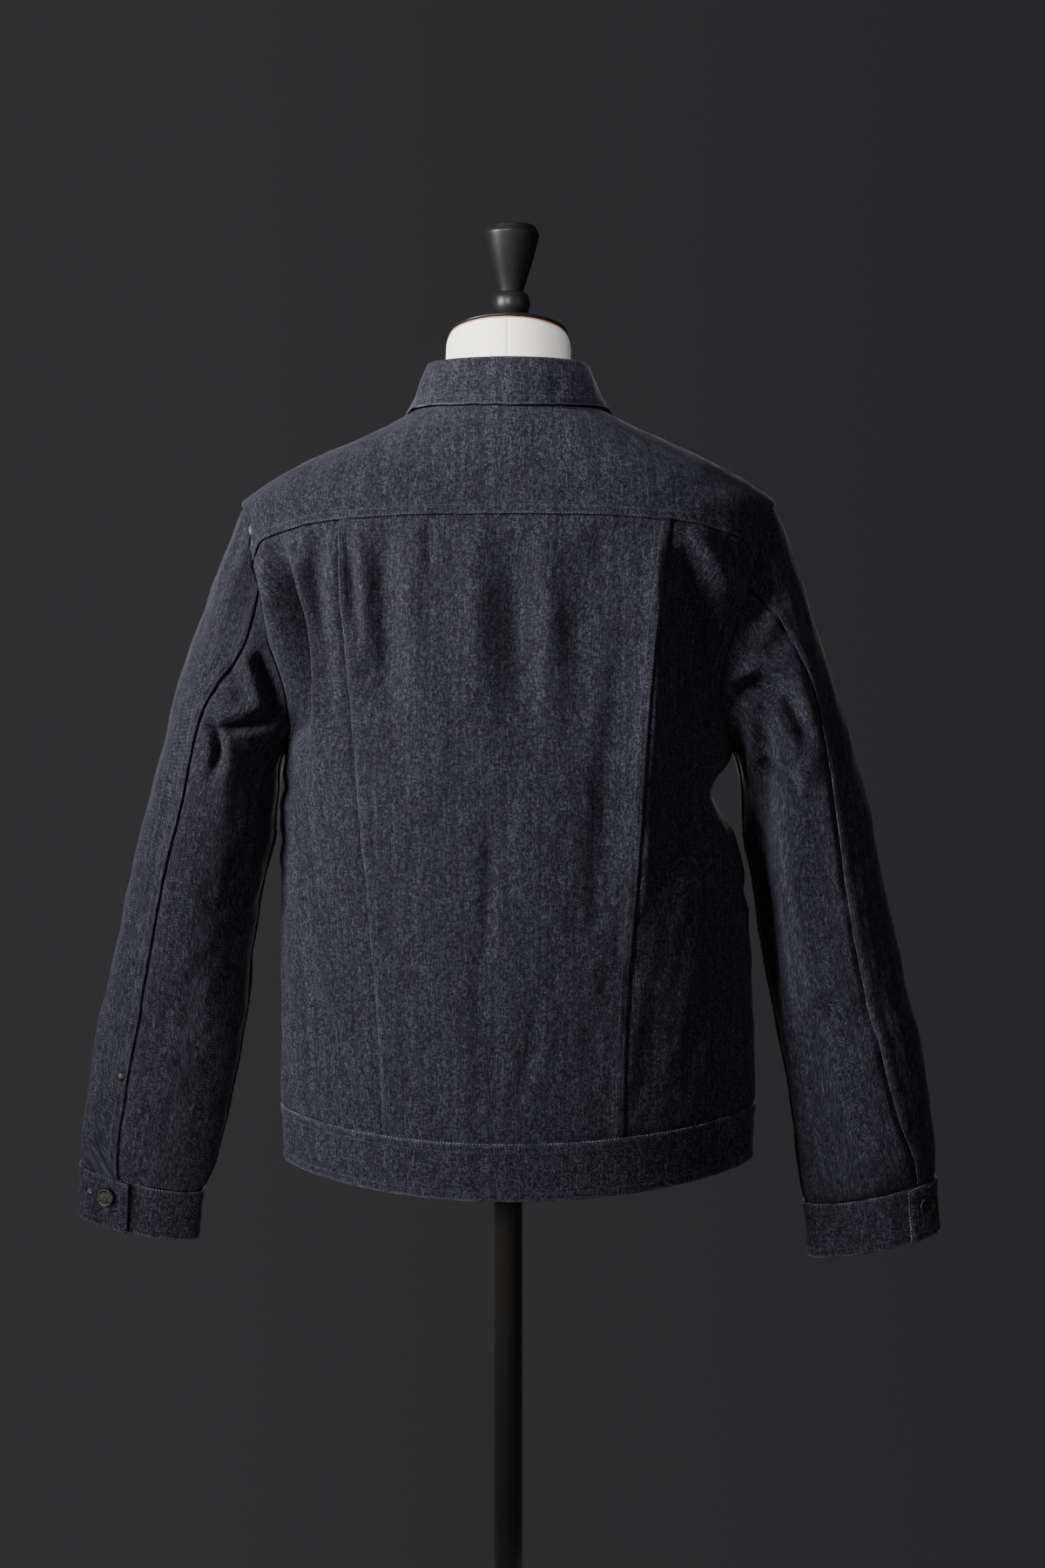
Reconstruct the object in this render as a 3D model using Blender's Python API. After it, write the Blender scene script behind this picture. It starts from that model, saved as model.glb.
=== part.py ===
"""A denim jacket, buttoned up, worn by a limbless dress form on a round stand.

Metres, +Z up. The jacket's back looks along -Y, its front along +Y, and the
wearer's left is -X. The origin is under the pole, on the floor.

Every cloth piece is a wall cut out of one of three smooth surfaces (the body,
the two sleeves, the collar). Neighbours share their seam line and stand a
hair's breadth apart along it.
"""
from collections import namedtuple
from math import pi, radians

import bmesh
import bpy
import numpy as np
from mathutils import Matrix, Vector

for old in list(bpy.data.objects):
    bpy.data.objects.remove(old, do_unlink=True)

# ---------------------------------------------------------------- sizes

GAP = 0.0003            # between two pieces that touch
SEAM_BACK = 0.00025     # each of two sewn pieces stops this far from their seam line
SLEEVE_BACK = 0.0013    # a sleeve's top edge stops this much farther from the armhole
CLOTH = 0.0015          # wall of a single layer of denim
BAND = 0.0024           # wall of a doubled band: cuffs, waistband, collar

HEM = 0.757             # lower edge of the waistband above the floor
BAND_TOP = 0.8075       # seam between waistband and body
UNDERARM = 1.134        # lowest point of the armholes
SHOULDER_TIP = 1.3552   # highest point of the armholes
NECKLINE = 1.447        # ring that carries the collar

# Level rings of the body, from their half-widths and depths. The two powers
# shape a ring: 2 and 2 is an ellipse, a low depth power pinches it at the sides.
# `front_drop` is how far the ring sinks at the front.
BodyRing = namedtuple("BodyRing", "height left right back front width_power depth_power "
                                  "front_drop")
BODY = (
    BodyRing(0.7570, .2072, .2232, .1100, .1130, 2.00, 1.30, .000),
    BodyRing(0.8080, .2090, .2248, .1120, .1150, 2.00, 1.35, .000),
    BodyRing(0.9250, .2085, .2215, .1150, .1190, 2.05, 1.50, .000),
    BodyRing(1.0160, .2090, .2150, .1180, .1220, 2.10, 1.70, .000),
    BodyRing(1.0520, .2090, .2060, .1190, .1230, 2.15, 1.80, .000),
    BodyRing(1.0900, .2085, .1895, .1205, .1240, 2.20, 1.95, .000),
    BodyRing(1.1340, .2045, .2060, .1225, .1250, 2.30, 2.10, .000),
    BodyRing(1.2000, .2095, .2090, .1260, .1250, 2.40, 2.40, .000),
    BodyRing(1.2500, .2225, .2170, .1275, .1210, 2.40, 2.40, .000),
    BodyRing(1.2800, .2330, .2245, .1270, .1165, 2.40, 2.40, .001),
    BodyRing(1.3000, .2375, .2290, .1260, .1130, 2.40, 2.40, .003),
    BodyRing(1.3350, .2395, .2380, .1215, .1040, 2.30, 2.30, .008),
    BodyRing(1.3552, .2432, .2425, .1170, .0980, 2.25, 2.25, .013),
    BodyRing(1.3750, .2220, .2205, .1110, .0930, 2.15, 2.15, .023),
    BodyRing(1.3900, .1968, .1960, .1045, .0885, 2.10, 2.10, .033),
    BodyRing(1.4060, .1608, .1612, .0960, .0830, 2.05, 2.05, .045),
    BodyRing(1.4220, .1245, .1268, .0865, .0775, 2.00, 2.00, .057),
    BodyRing(1.4370, .0955, .0965, .0750, .0720, 2.00, 2.00, .068),
    BodyRing(1.4470, .0780, .0775, .0640, .0680, 2.00, 2.00, .075),
)
DROP_POWER = 1.5        # how early a ring starts to sink on its way to the front

# How far the armhole edge lies behind the side line, on the left and the right
# arm, and before it. The turn is in degrees: 0 under the arm, 180 at the tip.
ArmholeCut = namedtuple("ArmholeCut", "turn back_left back_right front")
ARMHOLE = (
    ArmholeCut(0, .0000, .0000, .0000),
    ArmholeCut(25, .0350, .0400, .0430),
    ArmholeCut(45, .0520, .0600, .0680),
    ArmholeCut(65, .0595, .0672, .0790),
    ArmholeCut(90, .0550, .0634, .0780),
    ArmholeCut(115, .0470, .0530, .0660),
    ArmholeCut(140, .0440, .0455, .0520),
    ArmholeCut(160, .0320, .0320, .0350),
    ArmholeCut(180, .0000, .0000, .0000),
)
SEAM_TURN = 110         # where the sleeve's back seam meets the armhole
YOKE_TURN = 122.8       # where the back yoke seam meets the armhole
SHOULDER_TURN = 145     # where the forward shoulder seam meets the armhole
SHOULDER_NECK = 35      # body angle where that seam meets the neckline
YOKE_NECK = -12         # body angle on the neckline above the yoke seam's end

# Height of the back yoke seam, by its share of the way from centre to armhole.
YokeSeam = namedtuple("YokeSeam", "share height")
YOKE_SEAM = (
    YokeSeam(0.00, 1.3447),
    YokeSeam(0.32, 1.3440),
    YokeSeam(0.60, 1.3405),
    YokeSeam(0.70, 1.3385),
    YokeSeam(0.84, 1.3315),
    YokeSeam(0.94, 1.3236),
)

# The two seams that join the centre back to the side backs.
PanelSeam = namedtuple("PanelSeam", "height left right")
PANEL_SEAMS = (
    PanelSeam(0.8075, .1088, .0992),
    PanelSeam(0.8740, .1112, .1000),
    PanelSeam(0.9500, .1172, .1045),
    PanelSeam(1.0160, .1225, .1085),
    PanelSeam(1.1000, .1303, .1125),
    PanelSeam(1.1700, .1348, .1162),
    PanelSeam(1.2300, .1398, .1218),
    PanelSeam(1.2700, .1440, .1271),
    PanelSeam(1.3060, .1455, .1325),
    PanelSeam(1.3390, .1461, .1393),
)

# Sections across a sleeve, from the armhole to the cuff. Outer and inner are
# the section's two ends seen from behind, `reach` outwards from x = 0. `depth`
# is half its size along Y, `middle_y` its middle, and `seam` places the back
# seam from -1 (inner end) to 1 (outer end).
Section = namedtuple("Section",
                     "step outer_reach outer_z inner_reach inner_z depth middle_y seam")
SLEEVE_LEFT = (
    Section(0, .2432, 1.3552, .2045, 1.1340, .0700, .004, .342),
    Section(1, .2648, 1.3000, .2105, 1.1220, .0740, .004, .180),
    Section(2, .2850, 1.2450, .2130, 1.1000, .0740, .003, .290),
    Section(3, .3010, 1.2000, .2145, 1.0800, .0720, .002, .370),
    Section(4, .3160, 1.1424, .2152, 1.0568, .0680, .002, .380),
    Section(5, .3328, 1.0788, .2210, 1.0350, .0630, .003, .355),
    Section(6, .3478, 1.0189, .2300, .9938, .0590, .006, .360),
    Section(7, .3592, .9683, .2381, .9427, .0560, .010, .365),
    Section(8, .3721, .9155, .2429, .8890, .0530, .015, .370),
    Section(9, .3827, .8705, .2514, .8442, .0500, .020, .360),
    Section(10, .3932, .8125, .2645, .7841, .0450, .024, .360),
    Section(10.6, .3995, .7700, .2755, .7420, .0380, .026, .340),
    Section(11, .4012, .7437, .2870, .7180, .0245, .027, .300),
)
SLEEVE_RIGHT = (
    Section(0, .2425, 1.3552, .2060, 1.1340, .0700, .004, .342),
    Section(1, .2640, 1.3000, .2100, 1.1220, .0740, .004, .480),
    Section(2, .2812, 1.2450, .2130, 1.1000, .0740, .003, .500),
    Section(3, .2958, 1.2000, .2145, 1.0800, .0720, .002, .470),
    Section(4, .3127, 1.1424, .2155, 1.0568, .0680, .002, .410),
    Section(5, .3304, 1.0788, .2190, 1.0350, .0630, .003, .310),
    Section(6, .3423, 1.0189, .2274, .9938, .0590, .006, .265),
    Section(7, .3547, .9683, .2349, .9427, .0560, .010, .245),
    Section(8, .3669, .9155, .2450, .8890, .0530, .015, .265),
    Section(9, .3802, .8705, .2545, .8442, .0500, .020, .290),
    Section(10, .3910, .8060, .2655, .7780, .0450, .024, .400),
    Section(10.6, .3965, .7600, .2715, .7330, .0380, .026, .590),
    Section(11, .3981, .7302, .2757, .7074, .0245, .027, .660),
)

# Cuffs: the section of the lower edge, and the turn of the lapped tab's end.
Cuff = namedtuple("Cuff", "outer_reach outer_z inner_reach inner_z depth tab_turn")
CUFF_LEFT = Cuff(.4035, .6952, .2908, .6724, .0225, 96)
CUFF_RIGHT = Cuff(.4023, .6805, .2790, .6561, .0225, 119)
CUFF_LAP = 38           # degrees of a cuff's turn that lie under its tab
CUFF_BUTTON = 22        # degrees from the tab's end to the button
CUFF_BUTTON_SHARE = .40 # its place down the cuff

# Folds: a bent line seen from one side, its width and its depth (negative =
# sunk). The line runs from start over bend towards end. Its first coordinate is x
# seen from the back or front, y seen from the left or right.
Fold = namedtuple("Fold", "side start start_z bend bend_z end end_z width depth")
BODY_FOLDS = (
    Fold("back", -.2110, 1.322, -.1547, 1.213, -.1945, 1.140, .0110, -.0130),
    Fold("back", -.1720, 1.300, -.1630, 1.220, -.1720, 1.100, .0110, +.0035),
    Fold("back", -.1400, 1.339, -.1360, 1.290, -.1260, 1.225, .0070, -.0045),
    Fold("back", -.1000, 1.330, -.1010, 1.260, -.1080, 1.170, .0140, -.0040),
    Fold("back", +.0040, 1.330, +.0120, 1.220, +.0350, 1.110, .0220, -.0045),
    Fold("back", +.0790, 1.335, +.0800, 1.300, +.0820, 1.250, .0100, -.0035),
    Fold("back", +.1420, 1.312, +.1810, 1.262, +.1790, 1.130, .0150, -.0135),
    Fold("back", +.1250, 1.300, +.1220, 1.180, +.1180, 1.000, .0130, +.0035),
    Fold("right", -.1100, 1.130, +.0000, 1.070, +.0900, 1.120, .0190, -.0060),
    Fold("back", -.0160, 1.090, -.0150, 1.010, -.0240, .900, .0150, -.0030),
    Fold("back", -.1750, 1.000, -.1500, .920, -.1200, .840, .0120, +.0030),
    Fold("front", +.1650, 1.290, +.1450, 1.220, +.1700, 1.140, .0160, -.0060),
    Fold("front", -.1650, 1.290, -.1450, 1.220, -.1700, 1.140, .0160, -.0060),
    Fold("front", +.0900, 1.240, +.0950, 1.100, +.0880, .950, .0220, -.0040),
    Fold("front", -.1000, 1.200, -.0900, 1.050, -.0950, .900, .0240, -.0040),
)
FOLD_SIDES = {"back": (1, -1), "front": (1, 1), "left": (0, -1), "right": (0, 1)}
SLEEVE_FOLDS = {
    "left": (
        Fold("back", -.2240, 1.222, -.2090, 1.208, -.2010, 1.168, .0095, -.0120),
        Fold("back", -.2560, 1.160, -.2380, 1.153, -.2070, 1.164, .0060, -.0075),
        Fold("back", -.2580, 1.174, -.2380, 1.171, -.2140, 1.178, .0090, +.0050),
        Fold("back", -.2690, 1.172, -.2425, 1.145, -.2650, 1.110, .0070, -.0055),
        Fold("front", -.2350, 1.170, -.2600, 1.150, -.2950, 1.150, .0120, -.0070),
        Fold("front", -.2450, 1.110, -.2700, 1.090, -.3050, 1.095, .0130, -.0060),
        Fold("front", -.2600, 1.020, -.2900, 1.000, -.3300, 1.010, .0160, -.0050),
        Fold("back", -.2700, .905, -.3050, .880, -.3450, .895, .0180, -.0040),
    ),
    "right": (
        Fold("back", +.2340, 1.272, +.2160, 1.256, +.1985, 1.230, .0100, -.0065),
        Fold("back", +.1935, 1.178, +.2320, 1.236, +.2625, 1.146, .0070, -.0080),
        Fold("back", +.2120, 1.222, +.2500, 1.222, +.2700, 1.160, .0110, +.0045),
        Fold("back", +.2300, 1.182, +.2330, 1.150, +.2480, 1.134, .0075, -.0060),
        Fold("back", +.2200, 1.127, +.2464, 1.118, +.2570, 1.103, .0070, -.0055),
        Fold("front", +.2350, 1.165, +.2600, 1.150, +.2950, 1.155, .0120, -.0070),
        Fold("front", +.2450, 1.100, +.2700, 1.085, +.3050, 1.100, .0130, -.0060),
        Fold("front", +.2600, 1.010, +.2900, .995, +.3300, 1.015, .0160, -.0050),
        Fold("back", +.2700, .900, +.3050, .880, +.3450, .900, .0180, -.0040),
    ),
}

# Collar: the stand's top edge, and where the leaf's edge lies on the body.
STAND_LEFT = .0735       # its half-widths and depths from the middle of the neck
STAND_RIGHT = .0705
STAND_BACK = .0655
STAND_FRONT = .0640
STAND_TOP = 1.4815
STAND_FRONT_DROP = .0830
STAND_DROP_START = -.25  # where the edge starts to sink, as a share of STAND_FRONT
STAND_DROP_POWER = 1.35
STAND_OPEN = 2.0        # degrees from the centre front to each end
LEAF_LIFT = BAND + .0005
LeafEdge = namedtuple("LeafEdge", "turn body_turn height")
LEAF_EDGE = (
    LeafEdge(0, 0, 1.4392),
    LeafEdge(60, 52, 1.4405),
    LeafEdge(95, 82, 1.4415),
    LeafEdge(125, 106, 1.4280),
    LeafEdge(150, 124, 1.3950),
    LeafEdge(178, 146, 1.3350),
)

# Front closure, measured from the centre front.
PLACKET_HALF = .0180    # the placket lies on both fronts, this far to each side
PLACKET_LIFT = CLOTH + 2 * GAP
BAND_LAP = .0190        # the waistband's top end, and the end that lies under it
BAND_UNDERLAP = .0140
BAND_PROUD = .0006      # the waistband stands out this far over the panels above it
FRONT_BUTTONS = 6
TOP_BUTTON = 1.345
BOTTOM_BUTTON = .7822

BUTTON_RADIUS = .0085
RIVET_RADIUS = .0042
RIVET_TURN = 5.5        # degrees of the sleeve's turn from its back seam to the rivet
RIVET_HEIGHT = (.8360, .8265)       # left and right, above the floor

# Dress form: gap to the inside of the jacket at the side, back and front.
FormGap = namedtuple("FormGap", "height side back front")
FORM = (
    FormGap(0.8000, .0400, .0240, .0240),
    FormGap(0.9200, .0480, .0300, .0280),
    FormGap(1.0200, .0600, .0380, .0340),
    FormGap(1.1200, .0500, .0330, .0220),
    FormGap(1.2000, .0370, .0250, .0170),
    FormGap(1.2800, .0230, .0160, .0130),
    FormGap(1.3350, .0120, .0070, .0090),
    FormGap(1.3552, .0090, .0040, .0080),
    FormGap(1.3750, .0032, .0026, .0075),
    FormGap(1.3900, .0024, .0020, .0075),
    FormGap(1.4220, .0012, .0016, .0075),
    FormGap(1.4370, .0022, .0025, .0080),
    FormGap(1.4470, .0065, .0055, .0090),
)
NeckRing = namedtuple("NeckRing", "height half_width half_depth middle_y tilt")
NECK = (
    NeckRing(1.4560, .0680, .0590, .0010, .12),
    NeckRing(1.4680, .0605, .0570, .0030, .16),
    NeckRing(1.4860, .0576, .0560, .0050, .19),
    NeckRing(1.4990, .0573, .0560, .0055, .21),
    NeckRing(1.5050, .0566, .0552, .0060, .22),
    NeckRing(1.5088, .0553, .0540, .0060, .22),
    NeckRing(1.5108, .0536, .0522, .0060, .22),
)
CAP_HEIGHT = .0048
CAP_OVERHANG = .0006
FINIAL_FOOT = .0050     # radius of the stud the finial stands on
FORM_MIDDLE_X = -.0010

POLE_RADIUS = .0130
BASE_RADIUS = .1650
BASE_HEIGHT = .0140

# How finely each piece is cut: columns across, rows up.
CENTRE_COLUMNS = 12
SIDE_COLUMNS = 5
FRONT_SHARES = (0, .15, .31, .47, .62, .76, .87, 1)
BODY_ROWS = 8           # waistband to underarm
ARM_BACK_ROWS = 6       # underarm to the sleeve's back seam, one more to the yoke
ARM_TOP_ROWS = 7        # over the shoulder tip
ARM_FRONT_ROWS = 10     # forward shoulder seam down to the underarm
NECK_ROWS = 3           # of the front's rows, those along the neckline
CHEST = 1.115           # where the front's row from the underarm meets the centre front
YOKE_ROWS = 7
SLEEVE_ROWS = 19

# ---------------------------------------------------------------- curves


def through(rows, name, place):
    """Read one column of a table between its rows, on a curve that never overshoots."""
    keys = np.array([row[0] for row in rows], float)
    values = np.array([getattr(row, name) for row in rows], float)
    step = np.diff(keys)
    slope = np.diff(values) / step
    product = slope[1:] * slope[:-1]
    total = np.where(product > 0, slope[1:] + slope[:-1], 1)
    inner = np.where(product > 0, 2 * product / total, 0)
    tangent = np.concatenate(([slope[0]], inner, [slope[-1]]))
    place = np.clip(place, keys[0], keys[-1])
    index = np.clip(np.searchsorted(keys, place, side="right") - 1, 0, len(step) - 1)
    t = (place - keys[index]) / step[index]
    low, high = values[index], values[index + 1]
    rise = tangent[index] * step[index] * (t ** 3 - 2 * t ** 2 + t)
    fall = tangent[index + 1] * step[index] * (t ** 3 - t ** 2)
    blend = t * t * (3 - 2 * t)
    return low * (1 - blend) + high * blend + rise + fall


def ease(value):
    """Smooth step from 0 to 1."""
    value = np.clip(value, 0, 1)
    return value * value * (3 - 2 * value)


def unit(vectors):
    return vectors / np.linalg.norm(vectors, axis=-1, keepdims=True)


# ---------------------------------------------------------------- the body surface


def ring_shape(angle, height):
    """Half-width, depth and the two powers of the ring quarter at these angles."""
    half = np.where(np.cos(angle) > 0, through(BODY, "right", height),
                    through(BODY, "left", height))
    deep = np.where(np.sin(angle) > 0, through(BODY, "front", height),
                    through(BODY, "back", height))
    return half, deep, through(BODY, "width_power", height), through(BODY, "depth_power", height)


def smooth_body(angle, height):
    """Outer face of the body without folds. Angle 0 is +X, 90 degrees the front."""
    angle, height = np.broadcast_arrays(np.asarray(angle, float), np.asarray(height, float))
    half, deep, width_power, depth_power = ring_shape(angle, height)
    side, depth = np.abs(np.cos(angle)) / half, np.abs(np.sin(angle)) / deep
    radius = 1 / np.maximum(side, depth)
    for _ in range(9):
        wide = (radius * side) ** width_power
        far = (radius * depth) ** depth_power
        slope = (width_power * wide + depth_power * far) / radius
        radius = radius - (wide + far - 1) / slope
    x, y = radius * np.cos(angle), radius * np.sin(angle)
    front = through(BODY, "front", height)
    drop = through(BODY, "front_drop", height) * (np.maximum(y, 0) / front) ** DROP_POWER
    return np.stack((x, y, height - drop), axis=-1)


def body_normal(angle, height):
    """Unit vector that points out of the smooth body."""
    turn, rise = 1e-3, 4e-4
    low = np.maximum(height - rise, HEM)
    high = np.minimum(height + rise, NECKLINE)
    around = smooth_body(angle + turn, height) - smooth_body(angle - turn, height)
    upward = smooth_body(angle, high) - smooth_body(angle, low)
    return unit(np.cross(around, upward))


def fold_depth(points, normals, folds):
    """How far the folds move each point along its normal."""
    depth = np.zeros(points.shape[:-1])
    for fold in folds:
        axis, sign = FOLD_SIDES[fold.side]
        flat = points[..., [1 - axis, 2]]
        facing = ease(sign * normals[..., axis] / 0.4)
        share = np.linspace(0, 1, 9)[:, None]
        start = np.array((fold.start, fold.start_z))
        bend = np.array((fold.bend, fold.bend_z))
        end = np.array((fold.end, fold.end_z))
        line = (1 - share) ** 2 * start + 2 * share * (1 - share) * bend + share ** 2 * end
        nearest = np.full(depth.shape, 1e9)
        along = np.zeros(depth.shape)
        for index in range(8):
            stretch = line[index + 1] - line[index]
            t = np.clip(((flat - line[index]) @ stretch) / (stretch @ stretch), 0, 1)
            away = np.linalg.norm(flat - line[index] - t[..., None] * stretch, axis=-1)
            along = np.where(away < nearest, (index + t) / 8, along)
            nearest = np.minimum(nearest, away)
        taper = np.sin(pi * np.clip(along, 0, 1)) ** 0.7
        depth += fold.depth * np.exp(-(nearest / fold.width) ** 1.7) * taper * facing
    return depth


def body_cloth(angle, height, lift=0.0):
    """Outer face of the worn body, with its folds, moved out by `lift`, and its normals."""
    normal = body_normal(angle, height)
    smooth = smooth_body(angle, height)
    depth = fold_depth(smooth, normal, BODY_FOLDS) + lift
    return smooth + normal * np.asarray(depth)[..., None], normal


def angle_at_x(x, height, side):
    """Body angle of the point with this x, on the back (-1) or the front (1)."""
    about = np.arctan2(side, x)
    half, deep, width_power, depth_power = ring_shape(about, height)
    y = deep * (1 - np.minimum(np.abs(x / half), 1) ** width_power) ** (1 / depth_power)
    return np.arctan2(side * y, x)


# ---------------------------------------------------------------- seam lines
# A seam line is an array of (angle, height) pairs on the body surface.


def armhole(turns, hand, side):
    """Armhole edge at these turns: hand -1 left or 1 right, side -1 back or 1 front."""
    turns = np.asarray(turns, float)
    middle, half_height = (UNDERARM + SHOULDER_TIP) / 2, (SHOULDER_TIP - UNDERARM) / 2
    height = middle - half_height * np.cos(np.radians(turns))
    column = "front" if side > 0 else ("back_right" if hand > 0 else "back_left")
    y = through(ARMHOLE, column, turns)
    about = np.full(turns.shape, np.arctan2(side, hand))
    half, deep, width_power, depth_power = ring_shape(about, height)
    x = half * (1 - (y / deep) ** depth_power) ** (1 / width_power)
    angle = np.arctan2(side * y, hand * x)
    if hand < 0:
        angle = np.where(angle < 0, angle + 2 * pi, angle)
    elif side < 0:
        angle = angle + 2 * pi
    return np.stack((angle, height), axis=-1)


def yoke_seam(hand, columns, start_share):
    """Back yoke seam from a share of the way out to the armhole, counted from inside."""
    corner = armhole([YOKE_TURN], hand, -1)[0]
    end_x = smooth_body(corner[0], corner[1])[0]
    rows = YOKE_SEAM + (YokeSeam(1.0, corner[1]),)
    share = np.linspace(start_share, 1, columns + 1)
    height = through(rows, "height", share)
    angle = angle_at_x(share * end_x, height, -1) + 2 * pi
    line = np.stack((angle, height), axis=-1)
    line[-1] = corner
    return line


def panel_share(hand):
    """Share of the way out at which a panel seam meets the yoke seam."""
    corner = armhole([YOKE_TURN], hand, -1)[0]
    end_x = abs(smooth_body(corner[0], corner[1])[0])
    top = PANEL_SEAMS[-1]
    return (top.right if hand > 0 else top.left) / end_x


def inner_yoke_seam(hand, columns):
    """Back yoke seam from the centre to the panel seam."""
    corner = armhole([YOKE_TURN], hand, -1)[0]
    end_x = smooth_body(corner[0], corner[1])[0]
    rows = YOKE_SEAM + (YokeSeam(1.0, corner[1]),)
    share = np.linspace(0, panel_share(hand), columns + 1)
    height = through(rows, "height", share)
    angle = angle_at_x(share * end_x, height, -1) + 2 * pi
    return np.stack((angle, height), axis=-1)


def panel_seam(hand):
    """Seam between centre back and side back, from the waistband to the yoke."""
    top = yoke_seam(hand, 1, panel_share(hand))[0]
    lower = np.linspace(BAND_TOP, UNDERARM, BODY_ROWS + 1)
    upper = np.linspace(UNDERARM, top[1], ARM_BACK_ROWS + 2)[1:]
    height = np.concatenate((lower, upper))
    x = hand * through(PANEL_SEAMS, "right" if hand > 0 else "left", height)
    line = np.stack((angle_at_x(x, height, -1) + 2 * pi, height), axis=-1)
    line[-1] = top
    return line


def level(start, end, height, columns):
    """Line at one height between two angles."""
    angle = np.linspace(start, end, columns + 1)
    return np.stack((angle, np.full_like(angle, height)), axis=-1)


def back_turns():
    """Armhole turns from the underarm up to the yoke seam."""
    return np.append(np.linspace(0, SEAM_TURN, ARM_BACK_ROWS + 1), YOKE_TURN)


def top_turns():
    """Armhole turns over the shoulder: (turn, side) from the back yoke seam to the front."""
    around = np.linspace(YOKE_TURN, 360 - SHOULDER_TURN, ARM_TOP_ROWS + 1)
    return [(t, -1) if t <= 180 else (360 - t, 1) for t in around]


def front_turns():
    """Armhole turns from the underarm up to the forward shoulder seam."""
    return np.linspace(0, SHOULDER_TURN, ARM_FRONT_ROWS + 1)


def shoulder_armhole(hand):
    """Armhole edge of the yoke, from the back yoke seam to the forward shoulder seam."""
    return np.concatenate([armhole([turn], hand, side) for turn, side in top_turns()])


def patch(bottom, top, left, right, shares=None):
    """Fill the field between four seam lines. `shares` places its columns."""
    if shares is None:
        shares = np.linspace(0, 1, len(bottom))
    across = np.asarray(shares)[None, :, None]
    up = np.linspace(0, 1, len(left))[:, None, None]
    sides = left[:, None] * (1 - across) + right[:, None] * across
    ends = bottom[None] * (1 - up) + top[None] * up
    low = bottom[0] * (1 - across) + bottom[-1] * across
    high = top[0] * (1 - across) + top[-1] * across
    return sides + ends - (low * (1 - up) + high * up)


# ---------------------------------------------------------------- solids


def paint(name, colour, roughness, metallic):
    """Give the object a material of its own."""
    material = bpy.data.materials.new(name + "_look")
    material.use_nodes = True
    shader = material.node_tree.nodes["Principled BSDF"]
    shader.inputs["Base Color"].default_value = (*colour, 1)
    shader.inputs["Roughness"].default_value = roughness
    shader.inputs["Metallic"].default_value = metallic
    bpy.data.objects[name].data.materials.append(material)


def keep(name, work, look):
    """Turn a finished bmesh into a named object of the scene."""
    mesh = bpy.data.meshes.new(name)
    work.to_mesh(mesh)
    work.free()
    piece = bpy.data.objects.new(name, mesh)
    bpy.context.collection.objects.link(piece)
    mesh.shade_smooth()
    mesh.set_sharp_from_angle(angle=radians(35))
    paint(name, *look)
    return piece


DENIM = ((.020, .022, .034), .85, 0.0)
DARK_METAL = ((.050, .045, .042), .35, 1.0)
LINEN = ((.72, .69, .62), .90, 0.0)
BLACK_SATIN = ((.020, .020, .022), .35, 0.0)
BLACK_GLOSS = ((.010, .010, .011), .15, 0.0)


def draw_back(points, distance):
    """Draw the four edges of a field of points in by a small distance."""
    moved = points.copy()
    moved[0] += distance * unit(points[1] - points[0])
    moved[-1] += distance * unit(points[-2] - points[-1])
    edge = moved.copy()
    edge[:, 0] += distance * unit(points[:, 1] - points[:, 0])
    edge[:, -1] += distance * unit(points[:, -2] - points[:, -1])
    return edge


def field_normals(points):
    """Unit normals of a field of points, from its rows and columns."""
    across = np.gradient(points, axis=1)
    up = np.gradient(points, axis=0)
    return unit(np.cross(across, up))


def cloth_wall(name, points, normals, wall=CLOTH, look=DENIM):
    """A wall of cloth: its outer face is a field of points (rows, columns, xyz)."""
    rows, columns = points.shape[:2]
    work = bmesh.new()
    layers = []
    for face in (points, points - normals * wall):
        made = bmesh.ops.create_grid(work, x_segments=columns - 1, y_segments=rows - 1,
                                     size=0.5)
        for vertex, place in zip(made["verts"], draw_back(face, SEAM_BACK).reshape(-1, 3)):
            vertex.co = place
        layers.append(made["verts"])
    outer, inner = layers
    work.faces.ensure_lookup_table()
    bmesh.ops.reverse_faces(work, faces=work.faces[(rows - 1) * (columns - 1):])
    low = list(range(columns))
    right = list(range(columns - 1, rows * columns, columns))
    high = list(range(rows * columns - 1, (rows - 1) * columns - 1, -1))
    left = list(range((rows - 1) * columns, -1, -columns))
    rim = low + right[1:] + high[1:] + left[1:]
    for start, end in zip(rim, rim[1:]):
        work.faces.new((outer[end], outer[start], inner[start], inner[end]))
    return keep(name, work, look)


def ring_solid(name, rings, look):
    """A closed body through rings of equally many points, from bottom to top."""
    work = bmesh.new()
    edges = []
    for index, ring in enumerate(rings):
        capped = index in (0, len(rings) - 1)
        made = bmesh.ops.create_circle(work, cap_ends=capped, radius=1, segments=len(ring))
        for vertex, place in zip(made["verts"], ring):
            vertex.co = place
        edges.append([edge for edge in work.edges if edge.verts[0] in set(made["verts"])
                      and edge.verts[1] in set(made["verts"])])
    for lower, upper in zip(edges, edges[1:]):
        bmesh.ops.bridge_loops(work, edges=lower + upper)
    bmesh.ops.recalc_face_normals(work, faces=work.faces)
    return keep(name, work, look)


def turned_solid(name, profile, segments, look, matrix=Matrix()):
    """A body of revolution about its own Z from (radius, height) pairs, ends on the axis."""
    work = bmesh.new()
    chain = [work.verts.new((radius, 0, height)) for radius, height in profile]
    edges = [work.edges.new(pair) for pair in zip(chain, chain[1:])]
    bmesh.ops.spin(work, geom=chain + edges, cent=(0, 0, 0), axis=(0, 0, 1),
                   angle=2 * pi, steps=segments, use_merge=True)
    bmesh.ops.remove_doubles(work, verts=work.verts, dist=1e-6)
    bmesh.ops.recalc_face_normals(work, faces=work.faces)
    piece = keep(name, work, look)
    piece.matrix_world = matrix
    return piece


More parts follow.
